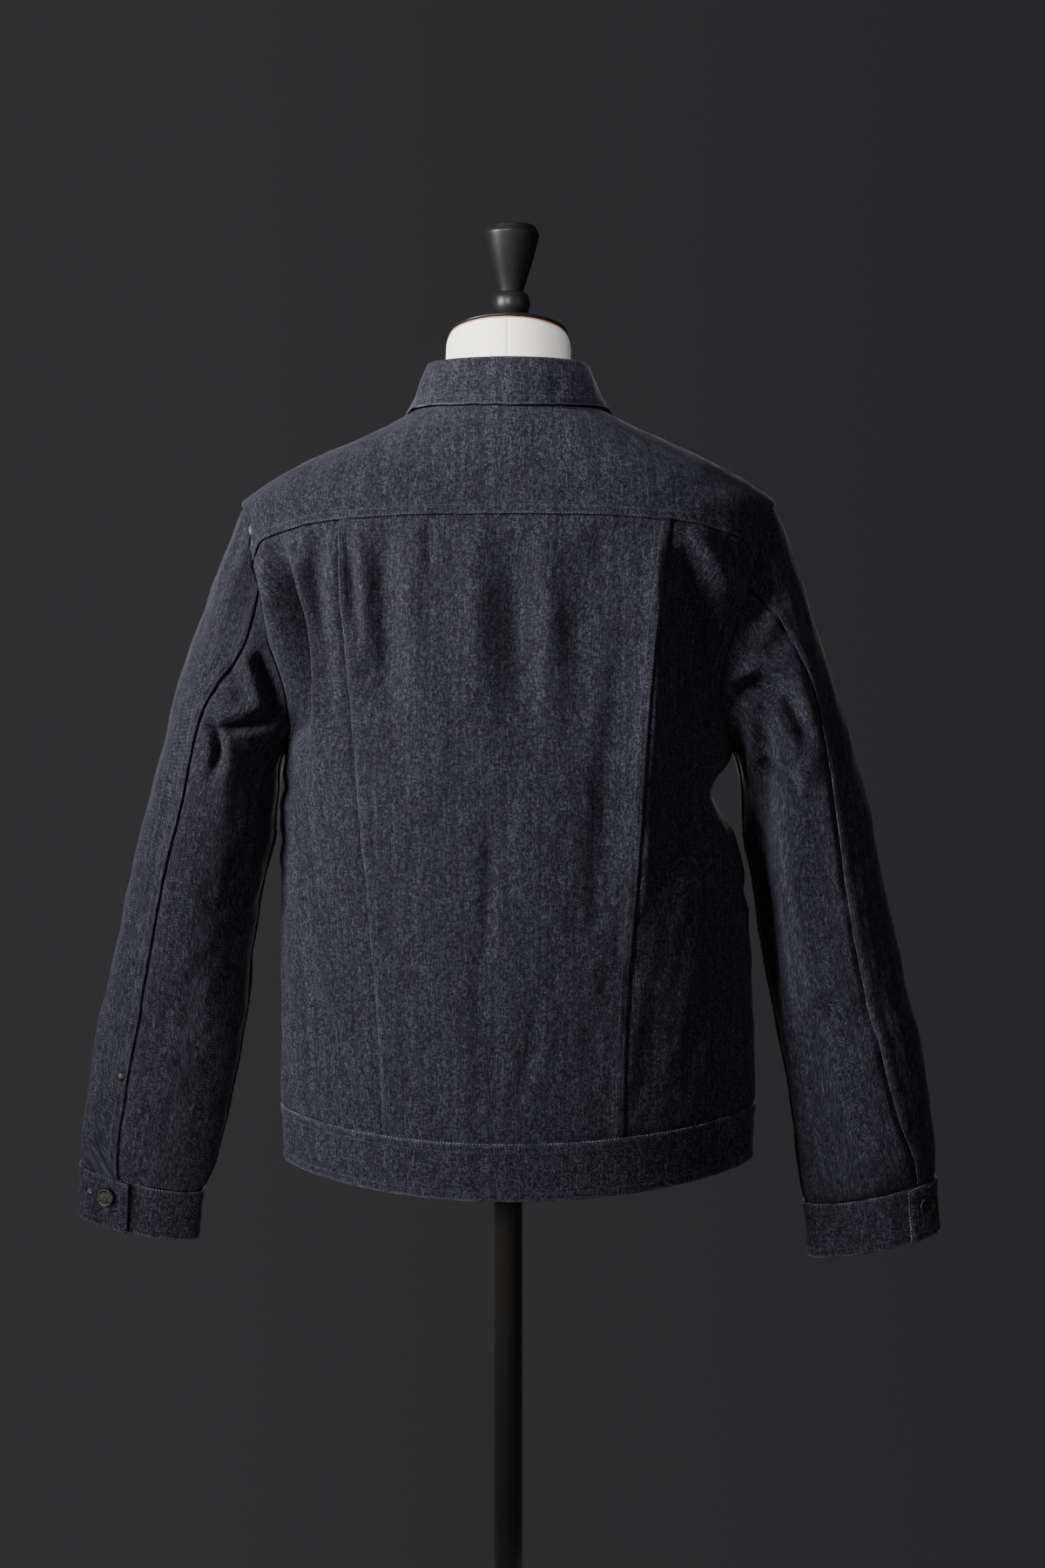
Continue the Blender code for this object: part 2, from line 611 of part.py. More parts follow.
def seated(point, normal, lift):
    """Placement of a turned piece that sits on a face."""
    turn = Vector((0, 0, 1)).rotation_difference(Vector(normal)).to_matrix().to_4x4()
    return Matrix.Translation(Vector(point) + Vector(normal) * lift) @ turn


# ---------------------------------------------------------------- body panels


def back_panels():
    """Centre back between the two panel seams."""
    left, right = panel_seam(-1), panel_seam(1)
    half = CENTRE_COLUMNS // 2
    left_top = inner_yoke_seam(-1, half)[::-1]
    right_top = inner_yoke_seam(1, half)
    top = np.concatenate((left_top, right_top[1:]))
    bottom_x = np.linspace(-PANEL_SEAMS[0].left, PANEL_SEAMS[0].right, CENTRE_COLUMNS + 1)
    bottom = np.stack((angle_at_x(bottom_x, BAND_TOP, -1) + 2 * pi,
                       np.full(len(bottom_x), BAND_TOP)), axis=-1)
    return patch(bottom, top, left, right)


def side_back(hand):
    """Side back: panel seam on one edge, side seam and armhole on the other."""
    inner = panel_seam(hand)
    seam_angle = 2 * pi if hand > 0 else pi
    heights = np.linspace(BAND_TOP, UNDERARM, BODY_ROWS + 1)
    lower = np.stack((np.full_like(heights, seam_angle), heights), axis=-1)
    outer = np.concatenate((lower, armhole(back_turns(), hand, -1)[1:]))
    top = yoke_seam(hand, SIDE_COLUMNS, panel_share(hand))
    bottom = level(inner[0][0], seam_angle, BAND_TOP, SIDE_COLUMNS)
    if hand > 0:
        return patch(bottom, top, inner, outer)
    return patch(bottom[::-1], top[::-1], outer, inner)


def yoke_neck_angles():
    """Body angles of the yoke's columns on the neckline, from the left front to the right."""
    back_columns = CENTRE_COLUMNS + 2 * SIDE_COLUMNS
    return np.radians(np.concatenate((
        np.linspace(180 - SHOULDER_NECK, 180 - YOKE_NECK, ARM_TOP_ROWS + 1),
        np.linspace(180 - YOKE_NECK, 360 + YOKE_NECK, back_columns + 1)[1:],
        np.linspace(360 + YOKE_NECK, 360 + SHOULDER_NECK, ARM_TOP_ROWS + 1)[1:])))


def yoke():
    """Back yoke: bottom edge from one forward shoulder seam round the back to the other."""
    half = CENTRE_COLUMNS // 2
    left_arm = shoulder_armhole(-1)[::-1]
    right_arm = shoulder_armhole(1)
    left_side = yoke_seam(-1, SIDE_COLUMNS, panel_share(-1))[::-1]
    right_side = yoke_seam(1, SIDE_COLUMNS, panel_share(1))
    centre = np.concatenate((inner_yoke_seam(-1, half)[::-1], inner_yoke_seam(1, half)[1:]))
    right_arm = right_arm + np.where(right_arm[:, :1] < pi, [[2 * pi, 0]], [[0, 0]])
    bottom = np.concatenate((left_arm, left_side[1:], centre[1:], right_side[1:],
                             right_arm[1:]))
    angles = yoke_neck_angles()
    top = np.stack((angles, np.full(len(angles), NECKLINE)), axis=-1)
    left = np.linspace(bottom[0], top[0], YOKE_ROWS + 1)
    right = np.linspace(bottom[-1], top[-1], YOKE_ROWS + 1)
    return patch(bottom, top, left, right)


def front_edge():
    """Centre front line from the waistband to the neckline."""
    heights = np.concatenate((
        np.linspace(BAND_TOP, CHEST, BODY_ROWS + 1),
        np.linspace(CHEST, NECKLINE, ARM_FRONT_ROWS - NECK_ROWS + 1)[1:]))
    return np.stack((np.full_like(heights, pi / 2), heights), axis=-1)


def front(hand):
    """Front panel from its side seam to the centre front."""
    seam_angle = 0 if hand > 0 else pi
    heights = np.linspace(BAND_TOP, UNDERARM, BODY_ROWS + 1)
    lower = np.stack((np.full_like(heights, seam_angle), heights), axis=-1)
    outer = np.concatenate((lower, armhole(front_turns(), hand, 1)[1:]))
    neck_end = radians(SHOULDER_NECK if hand > 0 else 180 - SHOULDER_NECK)
    neck = level(pi / 2, neck_end, NECKLINE, NECK_ROWS)
    inner = np.concatenate((front_edge(), neck[1:]))
    shares = np.array(FRONT_SHARES)
    top = outer[-1] + (inner[-1] - outer[-1]) * shares[:, None]
    bottom = outer[0] + (inner[0] - outer[0]) * shares[:, None]
    if hand > 0:
        field = patch(bottom, top, outer, inner, shares)
    else:
        field = patch(bottom[::-1], top[::-1], inner, outer, 1 - shares[::-1])
    heights = front_edge()[:, 1]
    field[:len(heights), -2 if hand > 0 else 1, 0] = angle_at_x(hand * PLACKET_HALF, heights, 1)
    field[:len(heights), -2 if hand > 0 else 1, 1] = heights
    return field


def build_body():
    """The panels between waistband and collar."""
    field = back_panels()
    cloth_wall("back_center", *body_cloth(field[..., 0], field[..., 1]))
    field = yoke()
    cloth_wall("back_yoke", *body_cloth(field[..., 0], field[..., 1]))
    for hand, word in ((-1, "left"), (1, "right")):
        field = side_back(hand)
        cloth_wall("back_side_" + word, *body_cloth(field[..., 0], field[..., 1]))

        field = front(hand)
        cloth_wall("front_" + word, *body_cloth(field[..., 0], field[..., 1]))

    heights = front_edge()[:, 1]
    height, x = np.meshgrid(heights, (PLACKET_HALF, 0, -PLACKET_HALF), indexing="ij")
    cloth_wall("front_placket", *body_cloth(angle_at_x(x, height, 1), height, PLACKET_LIFT),
               CLOTH)


def build_waistband():
    """Hem band from its top end round the wearer's left to the end that lies under it."""
    start = float(angle_at_x(BAND_LAP, HEM, 1))
    finish = float(angle_at_x(-BAND_UNDERLAP, HEM, 1)) + 2 * pi
    angles = np.concatenate((
        np.linspace(start, pi, 10),
        np.linspace(pi, 2 * pi, 25)[1:],
        np.linspace(2 * pi, 2 * pi + start - .06, 8)[1:],
        np.linspace(2 * pi + start, finish, 3)))
    heights = np.linspace(HEM, BAND_TOP - GAP, 3)
    height, angle = np.meshgrid(heights, angles, indexing="ij")
    under = ease((angle - (2 * pi + start - .09)) / .07)
    lift = BAND_PROUD - (BAND + 2 * GAP) * under
    cloth_wall("waistband", *body_cloth(angle, height, lift), BAND)


# ---------------------------------------------------------------- collar


def stand_edge(turn):
    """Top edge of the collar stand. The turn is 0 at the centre back, +-180 at the front."""
    angle = np.radians(turn) - pi / 2
    side, depth = np.cos(angle), np.sin(angle)
    deep = np.where(depth > 0, STAND_FRONT, STAND_BACK)
    half = np.where(side > 0, STAND_RIGHT, STAND_LEFT)
    radius = 1 / np.sqrt((side / half) ** 2 + (depth / deep) ** 2)
    x, y = radius * side, radius * depth
    start = STAND_FRONT * STAND_DROP_START
    share = np.clip((y - start) / (STAND_FRONT - start), 0, 1.1)
    return np.stack((x, y, STAND_TOP - STAND_FRONT_DROP * share ** STAND_DROP_POWER), axis=-1)


def clear_of_body(points, lift):
    """Move points outwards until they lie at least `lift` outside the body."""
    angle = np.arctan2(points[..., 1], points[..., 0])
    low = np.full(angle.shape, UNDERARM)
    high = np.full(angle.shape, NECKLINE)
    for _ in range(24):
        middle = (low + high) / 2
        above = smooth_body(angle, middle)[..., 2] > points[..., 2]
        high = np.where(above, middle, high)
        low = np.where(above, low, middle)
    body = smooth_body(angle, low)
    normal = body_normal(angle, low)
    tilt = np.maximum(np.linalg.norm(normal[..., :2], axis=-1), 0.4)
    radius = np.linalg.norm(points[..., :2], axis=-1)
    needed = np.linalg.norm(body[..., :2], axis=-1) + lift / tilt
    beside = low < NECKLINE - 1e-4
    grown = np.where(beside, np.maximum(radius, needed), radius) / radius
    return points * np.stack((grown, grown, np.ones_like(grown)), axis=-1)


def build_collar():
    """Stand on the neckline, and the leaf folded over it."""
    right_neck = np.radians(np.linspace(SHOULDER_NECK, 90 - STAND_OPEN, NECK_ROWS + 1)) + 2 * pi
    left_neck = np.radians(np.linspace(90 + STAND_OPEN, 180 - SHOULDER_NECK, NECK_ROWS + 1))
    angles = np.concatenate((left_neck, yoke_neck_angles()[1:], right_neck[1:]))
    turns = np.degrees(angles) - 270
    base = smooth_body(angles, NECKLINE)
    edge = stand_edge(turns)
    up = unit(edge - base)
    base = base + up * 2 * GAP
    share = np.linspace(0, 1, 3)[:, None, None]
    field = base * (1 - share) + edge * share
    cloth_wall("collar_stand", field, field_normals(field))

    turns = np.linspace(-LEAF_EDGE[-1].turn, LEAF_EDGE[-1].turn, 41)
    size = np.abs(turns)
    body_turn = np.sign(turns) * through(LEAF_EDGE, "body_turn", size)
    height = through(LEAF_EDGE, "height", size)
    rim, _ = body_cloth(np.radians(body_turn) - pi / 2, height, LEAF_LIFT)
    edge = stand_edge(turns)
    along = unit(np.gradient(edge, axis=0))
    base = smooth_body(np.radians(turns) - pi / 2, NECKLINE)
    up = edge - base
    up = unit(up - along * np.sum(up * along, axis=-1, keepdims=True))
    out = unit(np.cross(along, up))
    roof = edge - out * CLOTH * .6 + up * (BAND + .0011)
    fold = edge + out * .0014 + up * (BAND + .0006)
    crest = edge + out * (BAND + .0016) - up * .0006
    rows = [rim]
    for share in (.30, .60, .85):
        bulge = np.sin(pi * share) * .0030
        mixed = rim * (1 - share) + crest * share
        rows.append(clear_of_body(mixed + out * bulge, LEAF_LIFT))
    field = np.array(rows + [crest, fold, roof])
    cloth_wall("collar_fall", field, field_normals(field), BAND)


# ---------------------------------------------------------------- sleeves


def sleeve_turns():
    """Turns of a sleeve's columns, 0 under the arm, up the back, over, and down the front."""
    over = np.linspace(YOKE_TURN, 360 - SHOULDER_TURN, ARM_TOP_ROWS + 1)
    return np.concatenate((back_turns(), over[1:], 360 - front_turns()[::-1][1:]))


def armhole_edge(hand, turns):
    """The armhole's points on the worn body, for turns from 0 to 360."""
    turns = np.asarray(turns, float)
    behind = armhole(np.minimum(turns, 180), hand, -1)
    before = armhole(np.minimum(360 - turns, 180), hand, 1)
    line = np.where((turns <= 180)[..., None], behind, before)
    return body_cloth(line[..., 0], line[..., 1])[0]


def sleeve_point(hand, turns, steps):
    """Outer face of a sleeve, `turns` around it and `steps` down its sections."""
    rows = SLEEVE_RIGHT if hand > 0 else SLEEVE_LEFT

    def ring(at):
        outer = np.stack((hand * through(rows, "outer_reach", at),
                          through(rows, "middle_y", at),
                          through(rows, "outer_z", at)), axis=-1)
        inner = np.stack((hand * through(rows, "inner_reach", at),
                          through(rows, "middle_y", at),
                          through(rows, "inner_z", at)), axis=-1)
        swing = np.radians(turns)[..., None]
        back = np.stack((0 * at, -through(rows, "depth", at), 0 * at), axis=-1)
        return (outer + inner) / 2 - (outer - inner) / 2 * np.cos(swing) + back * np.sin(swing)

    turns, steps = np.broadcast_arrays(np.asarray(turns, float), np.asarray(steps, float))
    fade = 1 - ease(steps / 2.6)
    pull = (armhole_edge(hand, turns) - ring(np.zeros_like(steps))) * fade[..., None]
    return ring(steps) + pull


def sleeve_cloth(hand, turns, steps, lift=0.0):
    """Outer face of the worn sleeve, with its folds."""
    smooth = sleeve_point(hand, turns, steps)
    around = sleeve_point(hand, turns + .5, steps) - sleeve_point(hand, turns - .5, steps)
    down = (sleeve_point(hand, turns, np.minimum(steps + .02, 11))
            - sleeve_point(hand, turns, np.maximum(steps - .02, 0)))
    normal = unit(np.cross(around, down)) * -hand
    folds = SLEEVE_FOLDS["right" if hand > 0 else "left"]
    fade = ease(steps / .9) * ease((11 - steps) / .8)
    depth = fold_depth(smooth, normal, folds) * fade + lift
    return smooth + normal * np.asarray(depth)[..., None], normal


def seam_turn(hand, steps):
    """Turn of the back seam at each step down the sleeve."""
    rows = SLEEVE_RIGHT if hand > 0 else SLEEVE_LEFT
    return np.degrees(np.arccos(-through(rows, "seam", steps)))


def build_sleeve(hand, word):
    """Upper and under piece, joined along the back seam and the underarm seam."""
    steps = np.linspace(0, 11, SLEEVE_ROWS + 1)
    seam = seam_turn(hand, steps)
    turns = sleeve_turns()
    under = turns[turns <= SEAM_TURN + .01]
    upper = turns[turns >= SEAM_TURN - .01]
    under_share = under / SEAM_TURN
    upper_share = (upper - SEAM_TURN) / (360 - SEAM_TURN)
    order = slice(None, None, -hand)
    for kind, share, low, high in (("under", under_share, 0 * seam, seam),
                                   ("upper", upper_share, seam, 0 * seam + 360)):
        field = low[:, None] * (1 - share) + high[:, None] * share
        step = np.broadcast_to(steps[:, None], field.shape)
        points, normals = sleeve_cloth(hand, field, step)
        down = unit(points[1] - points[0])
        points[0] += down * SLEEVE_BACK
        cloth_wall("sleeve_" + kind + "_" + word, points[:, order], normals[:, order])


def cuff_ring(hand, turns, share, lift=0.0):
    """Outer face of a cuff, share 0 at its seam and 1 at its lower edge."""
    rows = SLEEVE_RIGHT if hand > 0 else SLEEVE_LEFT
    low = CUFF_RIGHT if hand > 0 else CUFF_LEFT
    top = rows[-1]
    turns, share = np.broadcast_arrays(np.asarray(turns, float), np.asarray(share, float))

    def mixed(name):
        return getattr(top, name) * (1 - share) + getattr(low, name) * share

    outer = np.stack((hand * mixed("outer_reach"), 0 * share, mixed("outer_z")), axis=-1)
    inner = np.stack((hand * mixed("inner_reach"), 0 * share, mixed("inner_z")), axis=-1)
    swing = np.radians(turns)[..., None]
    along = unit(outer - inner)
    half = np.linalg.norm(outer - inner, axis=-1, keepdims=True) / 2
    deep = mixed("depth")[..., None]
    back = np.array((0, -1.0, 0))
    middle = (outer + inner) / 2 + np.array((0, top.middle_y, 0))
    normal = unit(-along * np.cos(swing) / half + back * np.sin(swing) / deep)
    point = middle - along * half * np.cos(swing) + back * deep * np.sin(swing)
    return point + normal * np.asarray(lift)[..., None], normal


def build_cuff(hand, word):
    """A band that starts at the tab's end, goes round and ends under the tab."""
    tab = (CUFF_RIGHT if hand > 0 else CUFF_LEFT).tab_turn
    turns = np.concatenate((np.linspace(tab, tab + 344, 27),
                            np.linspace(tab + 356, tab + 360 + CUFF_LAP, 5)))
    share = np.linspace(.008, 1, 3)[:, None]
    under = ease((turns - (tab + 340)) / 16)
    lift = np.broadcast_to(.0004 - (BAND + 2 * GAP) * under, (3, len(turns)))
    points, normals = cuff_ring(hand, turns[None], share, lift)
    cloth_wall("cuff_" + word, points[:, ::-hand], normals[:, ::-hand], BAND)


# ---------------------------------------------------------------- buttons and rivets


def button_profile():
    """Short neck, then a dished disc with a rounded rim."""
    r = BUTTON_RADIUS
    return ((0, 0), (.0030, 0), (.0030, .0010), (r - .0006, .0010), (r, .0016), (r, .0024),
            (r - .0008, .0031), (r - .0022, .0029), (r * .45, .0022), (0, .0022))


def rivet_profile():
    """Low dome on a flat foot."""
    r = RIVET_RADIUS
    return ((0, 0), (r, 0), (r, .0005), (r * .8, .0012), (r * .4, .0016), (0, .0017))


def build_buttons():
    """Buttons down the placket, on the waistband and on both cuffs; a rivet on each vent."""
    for index, z in enumerate(np.linspace(TOP_BUTTON, BOTTOM_BUTTON, FRONT_BUTTONS)):
        height = z + through(BODY, "front_drop", z)
        height = z + through(BODY, "front_drop", height)
        lift = BAND_PROUD if height < BAND_TOP else PLACKET_LIFT
        point, normal = body_cloth(pi / 2, height)
        turned_solid("front_button_%d" % (index + 1), button_profile(), 16, DARK_METAL,
                     seated(point, normal, GAP + lift))
    for hand, word in ((-1, "left"), (1, "right")):
        tab = (CUFF_RIGHT if hand > 0 else CUFF_LEFT).tab_turn
        point, normal = cuff_ring(hand, tab + CUFF_BUTTON, CUFF_BUTTON_SHARE)
        turned_solid("cuff_button_" + word, button_profile(), 16, DARK_METAL,
                     seated(point, normal, GAP * 2 + .0004))
        steps = np.linspace(9, 10.8, 181)
        seam = seam_turn(hand, steps)
        points, normals = sleeve_cloth(hand, seam + RIVET_TURN, steps)
        best = int(np.argmin(np.abs(points[:, 2] - RIVET_HEIGHT[0 if hand < 0 else 1])))
        turned_solid("vent_rivet_" + word, rivet_profile(), 12, DARK_METAL,
                     seated(points[best], normals[best], GAP * 2))


# ---------------------------------------------------------------- dress form and stand


def form_ring(height, count=28):
    """One ring of the torso, a set gap inside the jacket's wall."""
    angle = np.linspace(0, 2 * pi, count, endpoint=False)
    side, depth = np.cos(angle) ** 2, np.sin(angle) ** 2
    facing = np.where(np.sin(angle) > 0, through(FORM, "front", height),
                      through(FORM, "back", height))
    gap = CLOTH + through(FORM, "side", height) * side + facing * depth
    return smooth_body(angle, height) - body_normal(angle, height) * gap[:, None]


def neck_ring(row, count=28, raise_by=0.0, widen=0.0):
    """One ring of the neck, higher at the back than at the front."""
    angle = np.linspace(0, 2 * pi, count, endpoint=False)
    x = FORM_MIDDLE_X + (row.half_width + widen) * np.cos(angle)
    y = row.middle_y + (row.half_depth + widen) * np.sin(angle)
    z = row.height + raise_by - row.tilt * (y - row.middle_y)
    return np.stack((x, y, z), axis=-1)


def build_form():
    """Limbless torso with its neck, the neck cap, the finial, the pole and the foot."""
    heights = (.80, .84, .90, .96, 1.02, 1.08, 1.14, 1.20, 1.26, 1.31, 1.34, 1.3552,
               1.37, 1.385, 1.40, 1.418, 1.434, 1.447)
    rings = [form_ring(height) for height in heights] + [neck_ring(row) for row in NECK]
    rings[0][:, 2] = heights[0]
    ring_solid("form_torso", rings, LINEN)

    top = NECK[-1]
    rings = [neck_ring(top, 28, GAP, CAP_OVERHANG),
             neck_ring(top, 28, CAP_HEIGHT * .45, CAP_OVERHANG),
             neck_ring(top, 28, CAP_HEIGHT * .85, -.002),
             neck_ring(top, 28, CAP_HEIGHT, -.007)]
    ring_solid("form_cap", rings, BLACK_SATIN)

    finial_foot = top.height + CAP_HEIGHT + FINIAL_FOOT * top.tilt + 2 * GAP
    profile = ((0, 0), (FINIAL_FOOT, 0), (FINIAL_FOOT, .0030), (.0090, .0070), (.0140, .0125),
               (.0172, .0190), (.0180, .0255), (.0168, .0315), (.0135, .0348), (.0119, .0352),
               (.0167, .0518), (.0216, .0672), (.0256, .0827), (.0264, .0873), (.0262, .0905),
               (.0229, .0951), (.0167, .0981), (0, .1000))
    place = Matrix.Translation((FORM_MIDDLE_X + .002, top.middle_y, finial_foot))
    turned_solid("form_finial", profile, 20, BLACK_SATIN, place)

    pole_top = heights[0] - GAP
    turned_solid("stand_pole", ((0, 0), (POLE_RADIUS, 0), (POLE_RADIUS, pole_top - BASE_HEIGHT),
                                (0, pole_top - BASE_HEIGHT)),
                 20, BLACK_GLOSS, Matrix.Translation((FORM_MIDDLE_X, 0, BASE_HEIGHT + GAP)))
    turned_solid("stand_base", ((0, 0), (BASE_RADIUS, 0), (BASE_RADIUS, BASE_HEIGHT * .55),
                                (BASE_RADIUS * .97, BASE_HEIGHT * .9),
                                (BASE_RADIUS * .30, BASE_HEIGHT), (0, BASE_HEIGHT)),
                 40, BLACK_GLOSS)


build_body()
build_waistband()
build_collar()
for hand, word in ((-1, "left"), (1, "right")):
    build_sleeve(hand, word)
    build_cuff(hand, word)
build_buttons()
build_form()
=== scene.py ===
from collections import namedtuple
from math import pi, radians, sin

import bmesh
import bpy
import numpy as np
from mathutils import Matrix, Vector


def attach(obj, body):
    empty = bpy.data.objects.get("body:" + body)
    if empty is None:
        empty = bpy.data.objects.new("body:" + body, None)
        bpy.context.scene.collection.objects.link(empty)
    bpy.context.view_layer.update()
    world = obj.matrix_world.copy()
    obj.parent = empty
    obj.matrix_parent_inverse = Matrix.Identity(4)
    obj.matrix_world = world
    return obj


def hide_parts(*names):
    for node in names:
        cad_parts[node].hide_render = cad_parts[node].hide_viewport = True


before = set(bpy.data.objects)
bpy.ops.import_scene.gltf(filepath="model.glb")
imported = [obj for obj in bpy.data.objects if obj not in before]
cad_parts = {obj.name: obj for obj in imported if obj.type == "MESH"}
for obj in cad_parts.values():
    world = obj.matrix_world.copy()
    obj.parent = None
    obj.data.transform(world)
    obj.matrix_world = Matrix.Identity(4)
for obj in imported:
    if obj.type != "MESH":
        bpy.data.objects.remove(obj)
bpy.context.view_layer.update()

# ---------------------------------------------------------------- studio
# The jacket is seen from behind, a little above its underarms. The key light stands
# at its left, weaker ones above, at its right and near the camera, three on the far
# side. The dark backdrop's colour carries painted light: lighter at the left, on the key
# light's side, and darker to the right. The floor is a plain pale disc.

camera = bpy.data.objects.new("camera", bpy.data.cameras.new("camera"))
camera.location = (.012, -1.54, 1.30)
camera.rotation_euler = (pi / 2, 0, 0)
camera.data.lens = 38.46
camera.data.sensor_width = 36
camera.data.shift_y = -.139
camera.data.clip_start = .05
bpy.context.collection.objects.link(camera)
bpy.context.scene.camera = camera


def studio_light(name, kind, place, aim, watts, colour, **settings):
    """A lamp that looks at a point. Its settings are its size and its beam."""
    data = bpy.data.lights.new(name, kind)
    data.energy, data.color = watts, colour
    for setting, value in settings.items():
        setattr(data, setting, value)
    lamp = bpy.data.objects.new(name, data)
    lamp.location = place
    lamp.rotation_euler = (Vector(aim) - Vector(place)).to_track_quat("-Z", "Y").to_euler()
    bpy.context.collection.objects.link(lamp)
    return lamp


softboxes = [
    studio_light(name, "AREA", place, aim, watts, colour, shape="SQUARE", size=width,
                 spread=radians(beam))
    for name, place, aim, width, watts, colour, beam in (
        ("key_light", (-1.84, -1.20, 1.82), (.12, -.1, 1.27), .9, 16.6, (1, .985, .965), 42),
        ("top_light", (-.2, -.2, 3.0), (0, 0, 1.2), 1.2, 4, (.95, .97, 1), 180),
        ("right_light", (2.0, -1.9, 1.9), (.1, 0, 1.25), 1.4, 10, (1, .97, .95), 180),
        ("near_light", (.5, -2.9, 1.3), (.05, 0, 1.15), 1.6, 8, (1, .99, .98), 180),
        ("front_light", (.2, 3.1, 1.6), (0, 0, 1.1), 1.8, 115, (1, .99, .97), 180),
        ("front_left_light", (-1.5, 2.9, 1.7), (0, 0, 1.1), 1.3, 24, (1, .99, .97), 180),
        ("front_right_light", (1.4, 3.0, 1.7), (0, 0, 1.1), 1.3, 24, (1, .99, .97), 180))]
far_lights = softboxes[-3:]
for name, place, aim, beam, watts in (
        ("low_spot", (-1.10, -1.50, .95), (-.28, -.05, .75), 18, 90),
        ("neck_spot", (-.55, -1.80, 1.90), (.005, -.05, 1.535), 7, 420)):
    studio_light(name, "SPOT", place, aim, watts, (1, .985, .97), spot_size=radians(beam),
                 spot_blend=1, shadow_soft_size=.12)


def wire(tree, node, inputs):
    """Fill a node's inputs; each is a value or another node's output."""
    for socket, value in inputs.items():
        if isinstance(value, bpy.types.NodeSocket):
            tree.links.new(value, node.inputs[socket])
        else:
            node.inputs[socket].default_value = value


def add_node(tree, kind, inputs, **settings):
    """Add one shader node and give its outputs."""
    node = tree.nodes.new("ShaderNode" + kind)
    for setting, value in settings.items():
        setattr(node, setting, value)
    wire(tree, node, inputs)
    return node.outputs


def spread(tree, value, low, high, to_low=0.0, to_high=1.0):
    """Map a value's range smoothly to another range."""
    return add_node(tree, "MapRange", {"Value": value, "From Min": low, "From Max": high,
                                       "To Min": to_low, "To Max": to_high},
                    interpolation_type="SMOOTHSTEP")[0]


def blend_colours(tree, share, low, high):
    """Mix two colours; each is an RGB triple or a node's output."""
    low, high = ((*colour, 1) if isinstance(colour, tuple) else colour
                 for colour in (low, high))
    return add_node(tree, "Mix", {"Factor": share, "A": low, "B": high},
                    data_type="RGBA")["Result"]


world = bpy.data.worlds.new("studio")
world.use_nodes = True
studio = world.node_tree
direction = add_node(studio, "TexCoord", {})["Generated"]
sideways = add_node(studio, "SeparateXYZ", {0: direction})["X"]
# Painted light falloff: the backdrop's colour is lighter at the left, where the key light is, and
# darker towards the right.
painted_backdrop_falloff = blend_colours(studio, spread(studio, sideways, -.32, .32),
                         (.0365, .0365, .0385), (.0265, .0255, .0280))
wire(studio, studio.nodes["Background"], {"Color": painted_backdrop_falloff, "Strength": 1})
bpy.context.scene.world = world


def finish(material, inputs):
    """Fill the inputs of a material's shader."""
    tree = material.node_tree
    wire(tree, tree.nodes["Principled BSDF"], inputs)
    return material


def new_finish(name, inputs=()):
    """A new material with these inputs on its shader."""
    material = bpy.data.materials.new(name)
    material.use_nodes = True
    return finish(material, dict(inputs))


def assembled(name, work, look, crisp=None):
    """Make a bmesh a smooth object; bends of more than `crisp` degrees stay sharp."""
    mesh = bpy.data.meshes.new(name)
    work.to_mesh(mesh)
    work.free()
    mesh.materials.append(look)
    mesh.shade_smooth()
    if crisp:
        mesh.set_sharp_from_angle(angle=radians(crisp))
    piece = bpy.data.objects.new(name, mesh)
    bpy.context.collection.objects.link(piece)
    return piece


floor_work = bmesh.new()
bmesh.ops.create_circle(floor_work, cap_ends=True, radius=.62, segments=96)
floor_paint = new_finish("floor_paint", {"Base Color": (.62, .61, .59, 1), "Roughness": .75})
floor = assembled("floor", floor_work, floor_paint)
floor.location.z = -.0006

# ---------------------------------------------------------------- denim
# Raw indigo twill, three warps over one weft: near-black warp, with the pale weft
# showing as fine slanting lines and flecks. Folded edges wear pale in short dashes.

TWILL_PITCH, KNOT_PITCH = .00162, .0013     # between twill lines, and along one
DASH_PITCH = .0028                          # between the dashes of a rubbed edge
STITCH_PITCH, STITCH_ROWS = .0034, (.0024, .0078)


def calc(tree, operation, first, second=0.0, third=0.0):
    """One maths node; each input is a number or another node's output."""
    return add_node(tree, "Math", {0: first, 1: second, 2: third}, operation=operation)[0]


def product(tree, first, second):
    return calc(tree, "MULTIPLY", first, second)


def sine(tree, value, pitch):
    """Waves along a coordinate, with this length in metres."""
    return calc(tree, "SINE", product(tree, value, 2 * pi / pitch))


def coordinates(tree, layer):
    """A piece's own UV map, with its two coordinates."""
    place = add_node(tree, "UVMap", {}, uv_map=layer)["UV"]
    parts = add_node(tree, "SeparateXYZ", {0: place})
    return place, parts["X"], parts["Y"]


def stretched(tree, place, cycles):
    """Coordinates with this many cycles a metre across and along."""
    return add_node(tree, "Mapping", {"Scale": (*cycles, 1), "Vector": place})[0]


def speckle(tree, place, cycles, detail=2.0):
    """Noise over the cloth, with this many cycles a metre across and along."""
    return add_node(tree, "TexNoise", {"Scale": 1, "Detail": detail,
                                       "Vector": stretched(tree, place, cycles)},
                    noise_dimensions="2D")["Fac"]


def grains(tree, place, cycles):
    """A random share for each irregular grain; this many grains a metre across and along."""
    cells = add_node(tree, "TexVoronoi", {"Scale": 1, "Vector": stretched(tree, place, cycles)},
                     voronoi_dimensions="2D")
    return add_node(tree, "SeparateColor", {0: cells["Color"]})[0]


